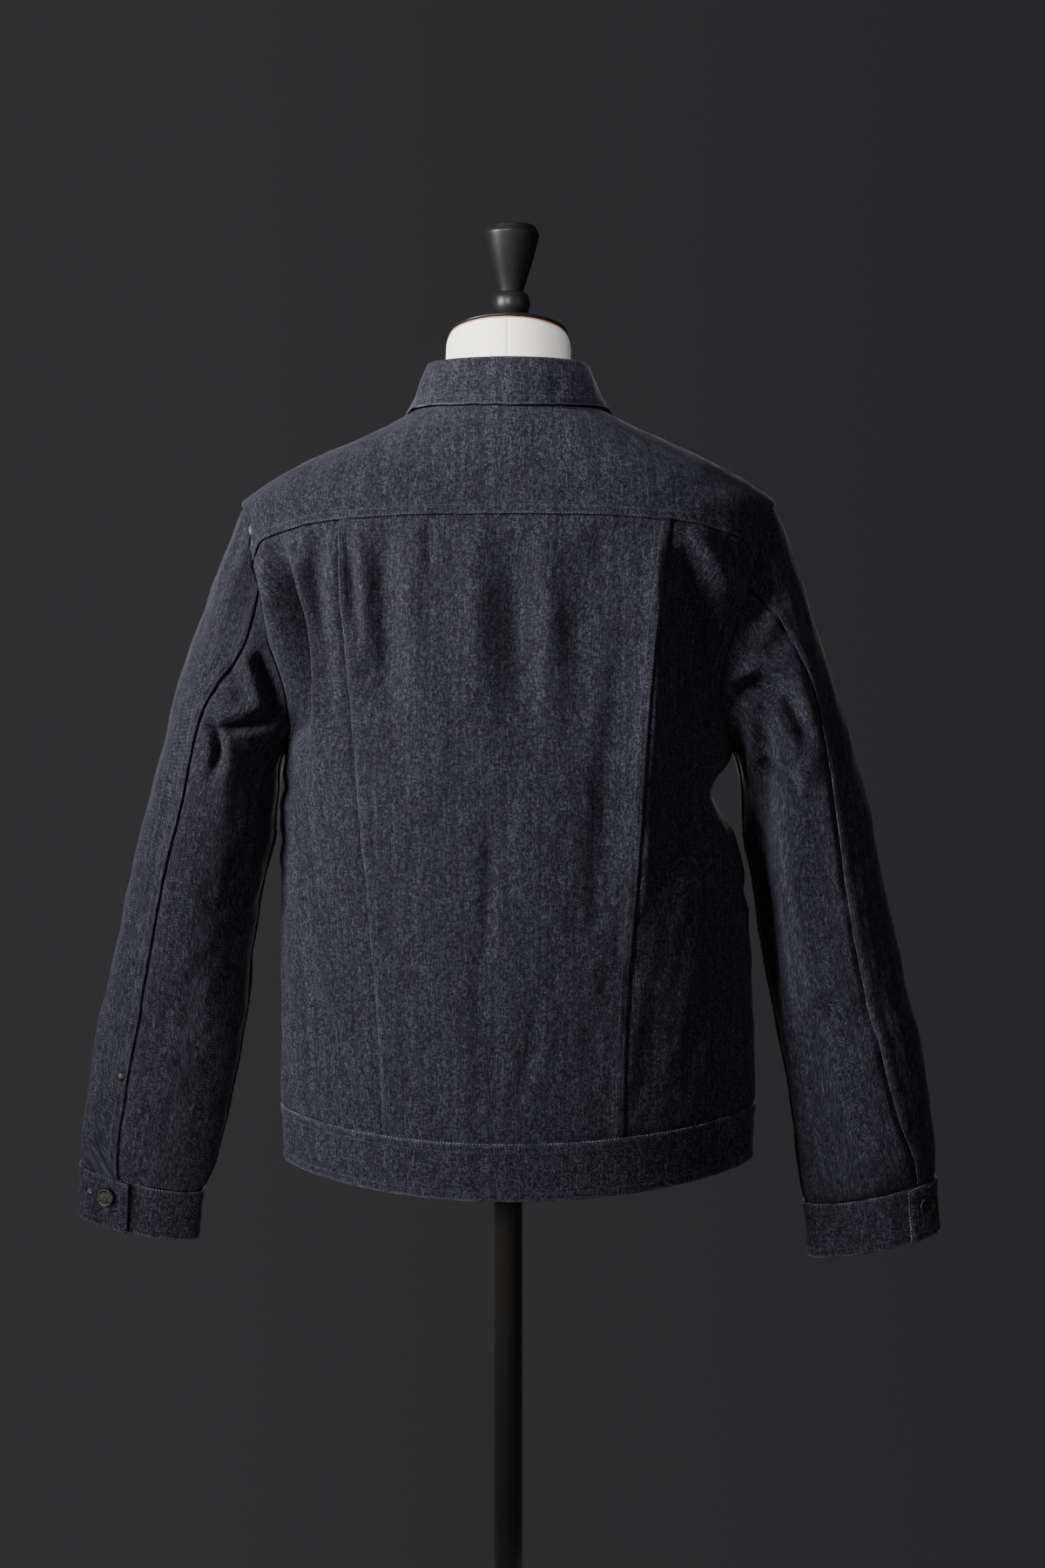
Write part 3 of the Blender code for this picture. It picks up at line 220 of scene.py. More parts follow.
def raw_denim(name, warp, weft, lean, edge=(.070, .072, .088), stitches=True):
    """Twill in the piece's own cloth coordinates. `lean` is the slope of its lines,
    `edge` the pale core that shows on rubbed edges."""
    material = new_finish(name)
    tree = material.node_tree
    place = coordinates(tree, "cloth")[0]
    turned = add_node(tree, "Mapping", {"Rotation": (0, 0, radians(lean)), "Vector": place},
                      vector_type="TEXTURE")[0]
    parts = add_node(tree, "SeparateXYZ", {0: turned})
    waver = speckle(tree, place, (120, 120), 1)
    phase = calc(tree, "MULTIPLY_ADD", parts["Y"], 2 * pi / TWILL_PITCH,
                 product(tree, waver, 2.0))
    lines = spread(tree, calc(tree, "SINE", phase), -.45, .75)
    knots = spread(tree, sine(tree, parts["X"], KNOT_PITCH), -.9, .6, .55, 1.0)

    flecks = spread(tree, grains(tree, place, (900, 700)), 0, 1, .12, 1.08)
    warps = spread(tree, speckle(tree, place, (900, 95), 0), .34, .66, .44, 1.0)
    wefts = spread(tree, speckle(tree, place, (150, 900), 0), .34, .66, .64, 1.0)
    clouds = spread(tree, speckle(tree, place, (34, 26), 3), .30, .70, .84, 1.0)
    slubs = spread(tree, speckle(tree, place, (300, 6), 1), .30, .70, .70, 1.17)
    worn = product(tree, product(tree, flecks, product(tree, clouds, slubs)),
                   product(tree, warps, wefts))
    bright = spread(tree, grains(tree, place, (760, 820)), .975, .99, 0, .55)

    seam, run, away = coordinates(tree, "seam")
    slant = calc(tree, "MULTIPLY_ADD", away, .8, run)
    dash = spread(tree, sine(tree, slant, DASH_PITCH), -.10, .60)
    rubbed = spread(tree, speckle(tree, seam, (60, 400), 2), .38, .62, .10, 1.0)
    rope = product(tree, spread(tree, away, .0008, .0019, 1, 0), product(tree, dash, rubbed))

    dots = product(tree, calc(tree, "MULTIPLY_ADD", lines, .40, .60), knots)
    weft_share = calc(tree, "MAXIMUM", product(tree, dots, worn), bright)
    colour = blend_colours(tree, calc(tree, "MINIMUM", weft_share, 1.0), warp, weft)
    colour = blend_colours(tree, rope, colour, edge)
    height = calc(tree, "MULTIPLY_ADD", lines, .00010, product(tree, flecks, .00008))
    height = calc(tree, "MULTIPLY_ADD", rope, .0004, height)

    if stitches:
        first, second = (calc(tree, "ABSOLUTE", calc(tree, "SUBTRACT", away, row))
                         for row in STITCH_ROWS)
        aside = calc(tree, "MINIMUM", first, second)
        step = spread(tree, sine(tree, run, STITCH_PITCH), -.75, -.45)
        thread = product(tree, spread(tree, aside, .00022, .00042, 1, 0), step)
        groove = spread(tree, aside, .0003, .0013, 1, 0)
        colour = blend_colours(tree, product(tree, thread, .8), colour, (.040, .043, .060))
        height = calc(tree, "MULTIPLY_ADD", groove, -.00022, height)
        height = calc(tree, "MULTIPLY_ADD", thread, .00034, height)
    bump = add_node(tree, "Bump", {"Strength": .9, "Distance": 1, "Height": height})[0]
    return finish(material, {
        "Base Color": colour, "Normal": bump, "Roughness": .82, "Diffuse Roughness": 1,
        "Specular IOR Level": .12, "Sheen Weight": .02, "Sheen Roughness": .45,
        "Sheen Tint": (.75, .78, .92, 1)})


WARP, WEFT = (.0026, .0026, .0042), (.078, .078, .107)
denim_lengthwise = raw_denim("denim_lengthwise", WARP, WEFT, 53)
denim_crosswise = raw_denim("denim_crosswise", WARP, WEFT, -33, (.140, .145, .170))
denim_yoke = raw_denim("denim_yoke", WARP, WEFT, 53, (.095, .100, .120))
denim_inside = raw_denim("denim_inside", (.10, .103, .115), (.22, .224, .24), 120,
                         stitches=False)

# ---------------------------------------------------------------- worn body
# All panels between collar and waistband are cut out of one surface. Its level
# rings are flattened ovals; the folds come from how the jacket hangs on the form.

HEM, BAND_TOP, UNDERARM, SHOULDER_TIP, NECKLINE = .757, .8075, 1.134, 1.3552, 1.447
HANDS = {-1: "left", 1: "right"}


def table(columns, *rows):
    """Rows of numbers under named columns."""
    row_of = namedtuple("row_of", columns)
    return [row_of(*row) for row in rows]


BODY = table(
    "height left right back front width_power depth_power front_drop",
    (0.7570, .2072, .2232, .1100, .1130, 2.00, 1.30, .000),
    (0.8080, .2090, .2248, .1120, .1150, 2.00, 1.35, .000),
    (0.9250, .2085, .2215, .1150, .1190, 2.05, 1.50, .000),
    (1.0160, .2090, .2150, .1180, .1220, 2.10, 1.70, .000),
    (1.0520, .2090, .2060, .1190, .1230, 2.15, 1.80, .000),
    (1.0900, .2085, .1895, .1205, .1240, 2.20, 1.95, .000),
    (1.1340, .2045, .2060, .1225, .1250, 2.30, 2.10, .000),
    (1.2000, .2095, .2090, .1260, .1250, 2.40, 2.40, .000),
    (1.2500, .2225, .2170, .1275, .1210, 2.40, 2.40, .000),
    (1.2800, .2330, .2245, .1270, .1165, 2.40, 2.40, .001),
    (1.3000, .2375, .2290, .1260, .1130, 2.40, 2.40, .003),
    (1.3350, .2395, .2380, .1215, .1040, 2.30, 2.30, .008),
    (1.3552, .2432, .2425, .1170, .0980, 2.25, 2.25, .013),
    (1.3750, .2220, .2205, .1110, .0930, 2.15, 2.15, .023),
    (1.3900, .1968, .1960, .1045, .0885, 2.10, 2.10, .033),
    (1.4060, .1608, .1612, .0960, .0830, 2.05, 2.05, .045),
    (1.4220, .1245, .1268, .0865, .0775, 2.00, 2.00, .057),
    (1.4370, .0955, .0965, .0750, .0720, 2.00, 2.00, .068),
    (1.4470, .0780, .0775, .0640, .0680, 2.00, 2.00, .075),
)

# A crease is a bent line seen from one side, with its width and depth (negative =
# sunk). The folds are the large ones, the creases the small ones over them.
Crease = namedtuple("Crease", "side start start_z bend bend_z end end_z width depth")
CREASE_SIDES = {"back": (1, -1), "front": (1, 1), "left": (0, -1), "right": (0, 1)}


def creases(**rows_by_side):
    """Creases from their rows, which are grouped by the side they are seen from."""
    return [Crease(side, *row) for side, rows in rows_by_side.items() for row in rows]


BODY_FOLDS = creases(
    back=(
        (-.2110, 1.322, -.1547, 1.213, -.1945, 1.140, .0110, -.0130),
        (-.1720, 1.300, -.1630, 1.220, -.1720, 1.100, .0110, +.0035),
        (-.1400, 1.339, -.1360, 1.290, -.1260, 1.225, .0070, -.0045),
        (-.1000, 1.330, -.1010, 1.260, -.1080, 1.170, .0140, -.0040),
        (+.0040, 1.330, +.0120, 1.220, +.0350, 1.110, .0220, -.0045),
        (+.0790, 1.335, +.0800, 1.300, +.0820, 1.250, .0100, -.0035),
        (+.1420, 1.312, +.1810, 1.262, +.1790, 1.130, .0150, -.0135),
        (+.1250, 1.300, +.1220, 1.180, +.1180, 1.000, .0130, +.0035),
        (-.0160, 1.090, -.0150, 1.010, -.0240, .900, .0150, -.0030),
        (-.1750, 1.000, -.1500, .920, -.1200, .840, .0120, +.0030)),
    right=(
        (-.1100, 1.130, +.0000, 1.070, +.0900, 1.120, .0190, -.0060),),
    front=(
        (+.1650, 1.290, +.1450, 1.220, +.1700, 1.140, .0160, -.0060),
        (-.1650, 1.290, -.1450, 1.220, -.1700, 1.140, .0160, -.0060),
        (+.0900, 1.240, +.0950, 1.100, +.0880, .950, .0220, -.0040),
        (-.1000, 1.200, -.0900, 1.050, -.0950, .900, .0240, -.0040)),
)
BODY_CREASES = creases(
    back=(
        (-.2110, 1.320, -.1770, 1.262, -.1850, 1.150, .0070, -.0160),
        (-.2180, 1.330, -.2040, 1.270, -.2060, 1.190, .0080, +.0060),
        (-.1930, 1.326, -.1590, 1.262, -.1660, 1.150, .0050, +.0040),
        (-.1610, 1.339, -.1670, 1.290, -.1640, 1.215, .0080, -.0060),
        (-.1730, 1.334, -.1740, 1.310, -.1790, 1.285, .0040, +.0022),
        (-.1405, 1.338, -.1370, 1.290, -.1255, 1.225, .0036, -.0005),
        (-.1265, 1.340, -.1230, 1.286, -.1195, 1.210, .0065, +.0034),
        (-.1060, 1.338, -.1085, 1.286, -.1040, 1.190, .0110, -.0036),
        (-.1060, 1.240, -.1050, 1.190, -.1000, 1.110, .0180, -.0034),
        (-.0880, 1.338, -.0850, 1.290, -.0830, 1.200, .0090, +.0020),
        (-.0690, 1.339, -.0680, 1.318, -.0640, 1.292, .0045, -.0020),
        (-.0755, 1.339, -.0745, 1.315, -.0720, 1.288, .0045, +.0014),
        (-.0270, 1.340, -.0240, 1.280, -.0300, 1.160, .0130, +.0032),
        (+.0040, 1.339, +.0050, 1.260, +.0060, 1.120, .0150, -.0024),
        (+.0300, 1.339, +.0330, 1.270, +.0340, 1.150, .0100, +.0020),
        (+.0620, 1.339, +.0650, 1.250, +.0600, 1.120, .0160, -.0034),
        (+.086, 1.336, +.106, 1.270, +.092, 1.190, .0060, -.0012),
        (+.130, 1.339, +.119, 1.180, +.109, .960, .0150, +.0060),
        (+.127, 1.330, +.126, 1.274, +.121, 1.174, .0055, +.0016),
        (+.141, 1.290, +.156, 1.215, +.150, 1.030, .0200, -.0055),
        (+.154, 1.332, +.178, 1.306, +.203, 1.262, .0100, +.0070),
        (+.155, 1.303, +.168, 1.283, +.181, 1.263, .0060, +.0020),
        (+.162, 1.247, +.175, 1.203, +.180, 1.123, .0060, -.0030),
        (+.191, 1.098, +.158, 1.078, +.121, 1.075, .0070, -.0025),
        (+.186, 1.084, +.155, 1.060, +.132, 1.036, .0060, -.0018),
        (-.095, 1.098, -.008, 1.106, +.066, 1.098, .0070, -.0016),
        (-.016, 1.092, -.017, 1.021, -.021, .941, .0050, -.0012),
        (-.133, 1.218, -.134, 1.143, -.119, 1.068, .0090, -.0014),
        (+.086, 1.167, +.083, 1.066, +.065, .981, .0100, -.0016),
        (-.014, .922, -.017, .879, -.013, .833, .0110, -.0020),
        (+.024, .895, +.011, .862, +.002, .833, .0060, -.0015),
        (+.042, .929, +.032, .899, +.027, .840, .0070, +.0012),
        (-.175, .962, -.140, .893, -.121, .837, .0065, +.0014),
        (-.196, .907, -.176, .857, -.147, .827, .0060, -.0016),
        (-.096, .948, -.091, .886, -.085, .832, .0080, -.0014),
        (+.133, .945, +.124, .883, +.114, .829, .0080, -.0016),
        (+.182, .969, +.161, .890, +.157, .828, .0070, -.0018)),
    front=(
        (+.200, 1.270, +.170, 1.240, +.120, 1.215, .0070, -.0028),
        (-.200, 1.265, -.165, 1.240, -.115, 1.225, .0070, -.0028),
        (+.190, 1.200, +.165, 1.190, +.130, 1.150, .0080, -.0024),
        (-.192, 1.190, -.165, 1.175, -.125, 1.130, .0080, -.0024),
        (+.110, 1.300, +.115, 1.250, +.105, 1.180, .0070, -.0014),
        (-.115, 1.305, -.112, 1.250, -.110, 1.170, .0070, -.0014),
        (+.055, 1.180, +.060, 1.090, +.052, 1.000, .0080, -.0014),
        (-.050, 1.100, -.058, 1.020, -.050, .930, .0080, -.0014),
        (+.150, 1.020, +.140, .940, +.150, .850, .0090, -.0016),
        (-.150, 1.050, -.160, .960, -.145, .860, .0090, -.0018),
        (+.080, .930, +.070, .880, +.075, .830, .0060, -.0012),
        (-.075, .900, -.070, .870, -.078, .828, .0060, -.0012),
        (+.028, 1.310, +.045, 1.260, +.080, 1.225, .0060, -.0010),
        (-.028, 1.250, -.045, 1.205, -.075, 1.175, .0060, -.0010)),
    left=(
        (-.060, 1.110, +.000, 1.085, +.060, 1.105, .0080, -.0030),
        (-.050, 1.060, +.010, 1.035, +.060, 1.060, .0080, -.0018)),
    right=(
        (-.060, 1.010, +.010, .990, +.060, 1.015, .0080, -.0020),),
)


def through(rows, name, place):
    """Read one column of a table between its rows, on a curve that never overshoots."""
    keys = np.array([row[0] for row in rows], float)
    values = np.array([getattr(row, name) for row in rows], float)
    step = np.diff(keys)
    slope = np.diff(values) / step
    both = slope[1:] * slope[:-1]
    total = np.where(both > 0, slope[1:] + slope[:-1], 1)
    inner = np.where(both > 0, 2 * both / total, 0)
    tangent = np.concatenate(([slope[0]], inner, [slope[-1]]))
    place = np.clip(place, keys[0], keys[-1])
    index = np.clip(np.searchsorted(keys, place, side="right") - 1, 0, len(step) - 1)
    t = (place - keys[index]) / step[index]
    low, high = values[index], values[index + 1]
    rise = tangent[index] * step[index] * (t ** 3 - 2 * t ** 2 + t)
    fall = tangent[index + 1] * step[index] * (t ** 3 - t ** 2)
    blend = t * t * (3 - 2 * t)
    return low * (1 - blend) + high * blend + rise + fall


def ease(value):
    """Smooth step from 0 to 1."""
    value = np.clip(value, 0, 1)
    return value * value * (3 - 2 * value)


def unit(vectors):
    return vectors / np.maximum(np.linalg.norm(vectors, axis=-1, keepdims=True), 1e-12)


def points_of(*parts):
    """Put coordinates together into points; a single number goes with all of them."""
    return np.stack(np.broadcast_arrays(*parts), axis=-1)


def ring_shape(angle, height):
    """Half-width, depth and the two powers of the ring quarter at these angles."""
    left, right, back, front, width_power, depth_power = (
        through(BODY, name, height) for name in BODY[0]._fields[1:-1])
    return (np.where(np.cos(angle) > 0, right, left), np.where(np.sin(angle) > 0, front, back),
            width_power, depth_power)


def smooth_body(angle, height):
    """Outer face of the body without folds. Angle 0 is +X, 90 degrees the front."""
    angle, height = np.broadcast_arrays(np.asarray(angle, float), np.asarray(height, float))
    half, deep, width_power, depth_power = ring_shape(angle, height)
    side, depth = np.abs(np.cos(angle)) / half, np.abs(np.sin(angle)) / deep
    radius = 1 / np.maximum(side, depth)
    for _ in range(9):
        wide = (radius * side) ** width_power
        far = (radius * depth) ** depth_power
        radius = radius - (wide + far - 1) * radius / (width_power * wide + depth_power * far)
    x, y = radius * np.cos(angle), radius * np.sin(angle)
    sunk = (np.maximum(y, 0) / through(BODY, "front", height)) ** 1.5
    return points_of(x, y, height - through(BODY, "front_drop", height) * sunk)


def body_normal(angle, height):
    """Unit vector that points out of the smooth body."""
    low, high = np.maximum(height - 4e-4, HEM), np.minimum(height + 4e-4, NECKLINE)
    around = smooth_body(angle + 1e-3, height) - smooth_body(angle - 1e-3, height)
    return unit(np.cross(around, smooth_body(angle, high) - smooth_body(angle, low)))


def bent(start, bend, end, share):
    """Points along a line that is pulled towards a third point."""
    return (1 - share) ** 2 * start + 2 * share * (1 - share) * bend + share ** 2 * end


def crease_depth(points, normals, rows, sharp=1.7, lips=0.0):
    """How far creases move each point along its normal. `lips` raises a crease's edges."""
    depth = np.zeros(points.shape[:-1])
    for crease in rows:
        axis, sign = CREASE_SIDES[crease.side]
        flat = points[..., [1 - axis, 2]]
        start, bend, end = (np.array(crease[i:i + 2]) for i in (1, 3, 5))
        line = bent(start, bend, end, np.linspace(0, 1, 9)[:, None])
        nearest = np.full(depth.shape, 1e9)
        along = np.zeros(depth.shape)
        for index, stretch in enumerate(np.diff(line, axis=0)):
            t = np.clip(((flat - line[index]) @ stretch) / (stretch @ stretch), 0, 1)
            away = np.linalg.norm(flat - line[index] - t[..., None] * stretch, axis=-1)
            along = np.where(away < nearest, (index + t) / 8, along)
            nearest = np.minimum(nearest, away)
        shape = np.exp(-(nearest / crease.width) ** sharp)
        shape = shape - lips * np.exp(-((nearest / crease.width - 2.0) / .8) ** 2)
        taper = np.sin(pi * np.clip(along, 0, 1)) ** 0.7
        depth += crease.depth * shape * taper * ease(sign * normals[..., axis] / 0.4)
    return depth


def unevenness(points, size):
    """Slow, shallow waves that keep a panel from looking ironed."""
    total = np.zeros(points.shape[:-1])
    for x, y, z, shift in ((61, 35, 22, .3), (-38, 52, 71, 1.9), (97, -44, 31, 4.1),
                           (23, 88, -66, 2.7), (-120, 31, 49, 5.2), (44, -71, 118, .8)):
        total += np.sin(points @ np.array((x, y, z)) + shift
                        + np.sin(points @ np.array((z, x, -y)) * .6))
    for x, y, z, shift in ((290, 130, 40, 1.1), (-215, 260, 70, 3.7), (340, -95, -62, 5.0),
                           (-150, -330, 48, .4)):
        total += .75 * np.sin(points @ np.array((x, y, z)) + shift
                              + 1.5 * np.sin(points @ np.array((70, -60, 110)) + shift))
    return total * size / 6


def body_cloth(angle, height, lift=0.0):
    """Outer face of the worn body, with its folds, moved out by `lift`."""
    normal = body_normal(angle, height)
    smooth = smooth_body(angle, height)
    depth = (crease_depth(smooth, normal, BODY_FOLDS)
             + crease_depth(smooth, normal, BODY_CREASES, 1.6, .35)
             + unevenness(smooth, .0011) * ease((height - BAND_TOP) / .03))
    return smooth + normal * np.asarray(depth + lift)[..., None]


def angle_at_x(x, height, side):
    """Body angle of the point with this x, on the back (-1) or the front (1)."""
    half, deep, width_power, depth_power = ring_shape(np.arctan2(side, x), height)
    y = deep * (1 - np.minimum(np.abs(x / half), 1) ** width_power) ** (1 / depth_power)
    return np.arctan2(side * y, x)


# ---------------------------------------------------------------- cutting and sewing
# A piece is cut as a field of points and gets a real wall. Where it laps its
# neighbour its turned edge stands up and puckers; where it goes under, it sinks.

OVER, UNDER, FREE = "over", "under", "free"
LAP_RISE = .0012        # how far a turned edge stands over the cloth beside it
LAP_WIDTH = .0085       # width of the felled strip, with its two rows of stitches
SINK, TUCK = .0015, .0035       # how deep and how far a piece goes under its neighbour
SINK_WIDTH = .006       # width of the strip in which it sinks
RIM_DROP, RIM_WIDTH = .0006, .0012      # the rounded rim of a turned edge
PUCKER_PITCH, PUCKER_RISE = .0088, .00016
UNDERLAP_SINK = .0030   # how deep a band's end lies under its other end
WALL, DOUBLE_WALL = .0014, .0022


def spaced(length, step=.0032):
    """Shares along a seam: even steps, closer together at both ends."""
    close = np.array((0, .0007, .0018, .0034, .0056, .0080, .0104))
    count = max(3, int((length - 2 * close[-1]) / step))
    middle = np.linspace(close[-1], length - close[-1], count)
    return np.concatenate((close[:-1], middle, (length - close[:-1])[::-1])) / length


def cloth_piece(name, points, edges, look, replaced, wall=WALL):
    """Sew a field of points (rows, columns) into a piece. `edges` names what the
    low, high, left and right edge do: over, under or free."""
    points = points.copy()
    rows, columns = points.shape[:2]
    step_u = np.linalg.norm(np.diff(points, axis=1), axis=2)
    step_v = np.linalg.norm(np.diff(points, axis=0), axis=2)
    u = np.pad(np.cumsum(step_u, 1), ((0, 0), (1, 0)))
    v = np.pad(np.cumsum(step_v, 0), ((1, 0), (0, 0)))
    away = {"left": u, "right": u[:, -1:] - u, "low": v, "high": v[-1:] - v}
    run = {"left": v, "right": v, "low": u, "high": u}
    normals = unit(np.cross(np.gradient(points, axis=1), np.gradient(points, axis=0)))

    lift = np.zeros((rows, columns))
    edge_away, edge_run = np.full((rows, columns), .05), np.zeros((rows, columns))
    for edge, kind in edges.items():
        d, s = away[edge], run[edge]
        if kind == UNDER:
            lift -= SINK * (1 - ease(d / SINK_WIDTH))
            continue
        pucker = np.sin(2 * pi * (s + .5 * d) / PUCKER_PITCH + 1.3 * np.sin(s * 83))
        near = 1 - ease((d - LAP_WIDTH * .8) / (LAP_WIDTH * .6))
        size = LAP_RISE if kind == OVER else LAP_RISE * .25
        lift += size * near + PUCKER_RISE * pucker * np.exp(-((d - .005) / .006) ** 2)
        lift -= RIM_DROP * (1 - ease(d / RIM_WIDTH))
        closer = d < edge_away
        edge_away, edge_run = np.where(closer, d, edge_away), np.where(closer, s, edge_run)
    points += normals * lift[..., None]
    for edge, rim, inside in (("low", points[0], points[1]), ("high", points[-1], points[-2]),
                              ("left", points[:, 0], points[:, 1]),
                              ("right", points[:, -1], points[:, -2])):
        if edges.get(edge) == UNDER:
            rim += TUCK * unit(rim - inside)

    work = bmesh.new()
    bmesh.ops.create_grid(work, x_segments=columns - 1, y_segments=rows - 1, size=.5)
    piece = assembled(name, work, look)
    mesh = piece.data
    mesh.vertices.foreach_set("co", points.reshape(-1))
    corners = np.empty(len(mesh.loops), int)
    mesh.loops.foreach_get("vertex_index", corners)
    cloth = points_of(u - u[:, columns // 2:columns // 2 + 1], v).reshape(-1, 2)
    seam = points_of(edge_run, edge_away).reshape(-1, 2)
    for layer, values in (("cloth", cloth), ("seam", seam)):
        mesh.uv_layers.new(name=layer).data.foreach_set("uv", values[corners].reshape(-1))
    mesh.materials.append(denim_inside)
    solidify = piece.modifiers.new("wall", "SOLIDIFY")
    solidify.thickness = wall
    solidify.offset = -1
    solidify.material_offset = 1
    solidify.material_offset_rim = 0
    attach(piece, "root")
    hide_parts(replaced)
    return piece


def straight(start, end, shares):
    """Points on the straight line between two points."""
    return start + (end - start) * shares[:, None]


def patch(bottom, top, left, right, across, up):
    """Fill the field between four seam lines at these shares across and up."""
    across, up = across[None, :, None], up[:, None, None]
    sides = left[:, None] * (1 - across) + right[:, None] * across
    ends = bottom[None] * (1 - up) + top[None] * up
    low = bottom[0] * (1 - across) + bottom[-1] * across
    high = top[0] * (1 - across) + top[-1] * across
    return sides + ends - (low * (1 - up) + high * up)


# ---------------------------------------------------------------- seam lines
# Pairs of (angle, height) on the body: armholes, back yoke seam, panel seams. An
# armhole's depth is given at turns from the underarm, 0, to the shoulder tip, 180.

ARMHOLE = table(
    "turn back_left back_right front",
    (0, .0000, .0000, .0000),
    (25, .0350, .0400, .0430),
    (45, .0465, .0600, .0680),
    (65, .0530, .0672, .0790),
    (90, .0535, .0634, .0780),
    (115, .0470, .0530, .0660),
    (140, .0440, .0455, .0520),
    (160, .0320, .0320, .0350),
    (180, .0000, .0000, .0000),
)
YOKE_TURN, SHOULDER_TURN = 122.8, 145   # where those seams meet the armhole
SHOULDER_NECK = 35      # body angle where the shoulder seam meets the neckline
YOKE_SEAM = table("share height", (0.00, 1.3447), (0.32, 1.3440), (0.60, 1.3405),
                  (0.70, 1.3385), (0.84, 1.3315), (0.94, 1.3236))
PANEL_SEAMS = table(
    "height left right",
    (0.8075, .1088, .0992),
    (0.8740, .1112, .1000),
    (0.9500, .1172, .1045),
    (1.0160, .1225, .1085),
    (1.1000, .1303, .1125),
    (1.1700, .1348, .1162),
    (1.2300, .1398, .1218),
    (1.2700, .1440, .1271),
    (1.3060, .1455, .1325),
    (1.3390, .1461, .1393),
)


def armhole(turns, hand, side, grow=1.0):
    """Armhole edge at these turns: hand -1 left or 1 right, side -1 back or 1 front.
    Grown, it is the line under the body at which the sleeve's seam allowance ends."""
    turns = np.asarray(turns, float)
    middle, half_height = (UNDERARM + SHOULDER_TIP) / 2, (SHOULDER_TIP - UNDERARM) / 2 * grow
    height = middle - half_height * np.cos(np.radians(turns))
    y = through(ARMHOLE, "front" if side > 0 else "back_" + HANDS[hand], turns) * grow
    about = np.full(turns.shape, np.arctan2(side, hand))
    half, deep, width_power, depth_power = ring_shape(about, height)
    x = half * (1 - (y / deep) ** depth_power) ** (1 / width_power)
    angle = np.arctan2(side * y, hand * x)
    if hand < 0:
        angle = np.where(angle < 0, angle + 2 * pi, angle)
    elif side < 0:
        angle = angle + 2 * pi
    return points_of(angle, height)


def yoke_seam(hand, shares):
    """Back yoke seam at these shares of the way from the centre to the armhole."""
    corner = armhole([YOKE_TURN], hand, -1)[0]
    end_x = smooth_body(corner[0], corner[1])[0]
    height = through(YOKE_SEAM + table("share height", (1.0, corner[1])), "height", shares)
    return points_of(angle_at_x(shares * end_x, height, -1) + 2 * pi, height)


def panel_share(hand):
    """Share of the way out at which a panel seam meets the yoke seam."""
    corner = armhole([YOKE_TURN], hand, -1)[0]
    return getattr(PANEL_SEAMS[-1], HANDS[hand]) / abs(smooth_body(corner[0], corner[1])[0])


def panel_seam(hand, shares):
    """Seam between centre back and side back at shares of its height."""
    top = yoke_seam(hand, np.array([panel_share(hand)]))[0]
    height = BAND_TOP + (top[1] - BAND_TOP) * shares
    x = hand * through(PANEL_SEAMS, HANDS[hand], height)
    return points_of(angle_at_x(x, height, -1) + 2 * pi, height)


# ---------------------------------------------------------------- centre back
# One panel of denim between the two slanting seams. Its side edges are turned and
# felled over the side backs; the yoke and the waistband lap its two ends.


def body_piece(name, field, edges, look, replaced):
    """A piece cut out of the worn body, from its field of angles and heights."""
    return cloth_piece(name, body_cloth(field[..., 0], field[..., 1]), edges, look, replaced)


ups, acrosses = spaced(.537), spaced(.275)
centre_x = 1 - 2 * acrosses
centre_top = np.where((acrosses < .5)[:, None],
                      *(yoke_seam(hand, np.abs(centre_x) * panel_share(hand)) for hand in HANDS))
bottom_x = -PANEL_SEAMS[0].left * (1 - acrosses) + PANEL_SEAMS[0].right * acrosses
centre_bottom = points_of(angle_at_x(bottom_x, BAND_TOP, -1) + 2 * pi, BAND_TOP)
field = patch(centre_bottom, centre_top, panel_seam(-1, ups), panel_seam(1, ups), acrosses, ups)
back_center = body_piece("centre_back", field,
                         {"left": OVER, "right": OVER, "low": UNDER, "high": UNDER},
                         denim_lengthwise, "back_center")

# ---------------------------------------------------------------- side backs
# From each panel seam to the side seam below the arm and the armhole above it.
# The armhole edge is felled over the sleeve, the side seam over the front.

UNDERARM_SHARE = .6     # how far up its side a panel meets the underarm


def side_line(hand, side, shares, last_turn):
    """Side seam up to the underarm, then the armhole up to a turn."""
    low = BAND_TOP + (UNDERARM - BAND_TOP) * shares / UNDERARM_SHARE
    seam = points_of((2 * pi if side < 0 else 0) if hand > 0 else pi, low)
    turn = np.clip((shares - UNDERARM_SHARE) / (1 - UNDERARM_SHARE), 0, 1) * last_turn
    return np.where((shares < UNDERARM_SHARE)[:, None], seam, armhole(turn, hand, side))


def between(hand, first, last, top, acrosses, ups):
    """Field from one upright line to the other, turned so that it faces outwards."""
    bottom = straight(first[0], last[0], acrosses)
    if hand > 0:
        return patch(bottom, top, first, last, acrosses, ups)
    return patch(bottom[::-1], top[::-1], last, first, acrosses, ups)


ups, acrosses = spaced(.560), spaced(.110)
for hand, sides, cut in ((-1, (OVER, UNDER), (.160, .550, .0705)),
                         (1, (UNDER, OVER), (.167, .566, .0750))):
    outer = side_line(hand, -1, ups, YOKE_TURN)
    top = yoke_seam(hand, panel_share(hand) + (1 - panel_share(hand)) * acrosses)
    top[-1] = outer[-1]
    field = between(hand, panel_seam(hand, ups), outer, top, acrosses, ups)
    piece = body_piece("side_back_" + HANDS[hand], field,
                       {"left": sides[0], "right": sides[1], "low": UNDER, "high": UNDER},
                       denim_lengthwise, "back_side_" + HANDS[hand])

# ---------------------------------------------------------------- back yoke
# One piece over both shoulders, down to the yoke seam behind and to the shoulder
# seams in front. Its lower edge is turned and felled over the panels below.

YOKE_ARM = .14          # share of the yoke's lower edge that lies along an armhole


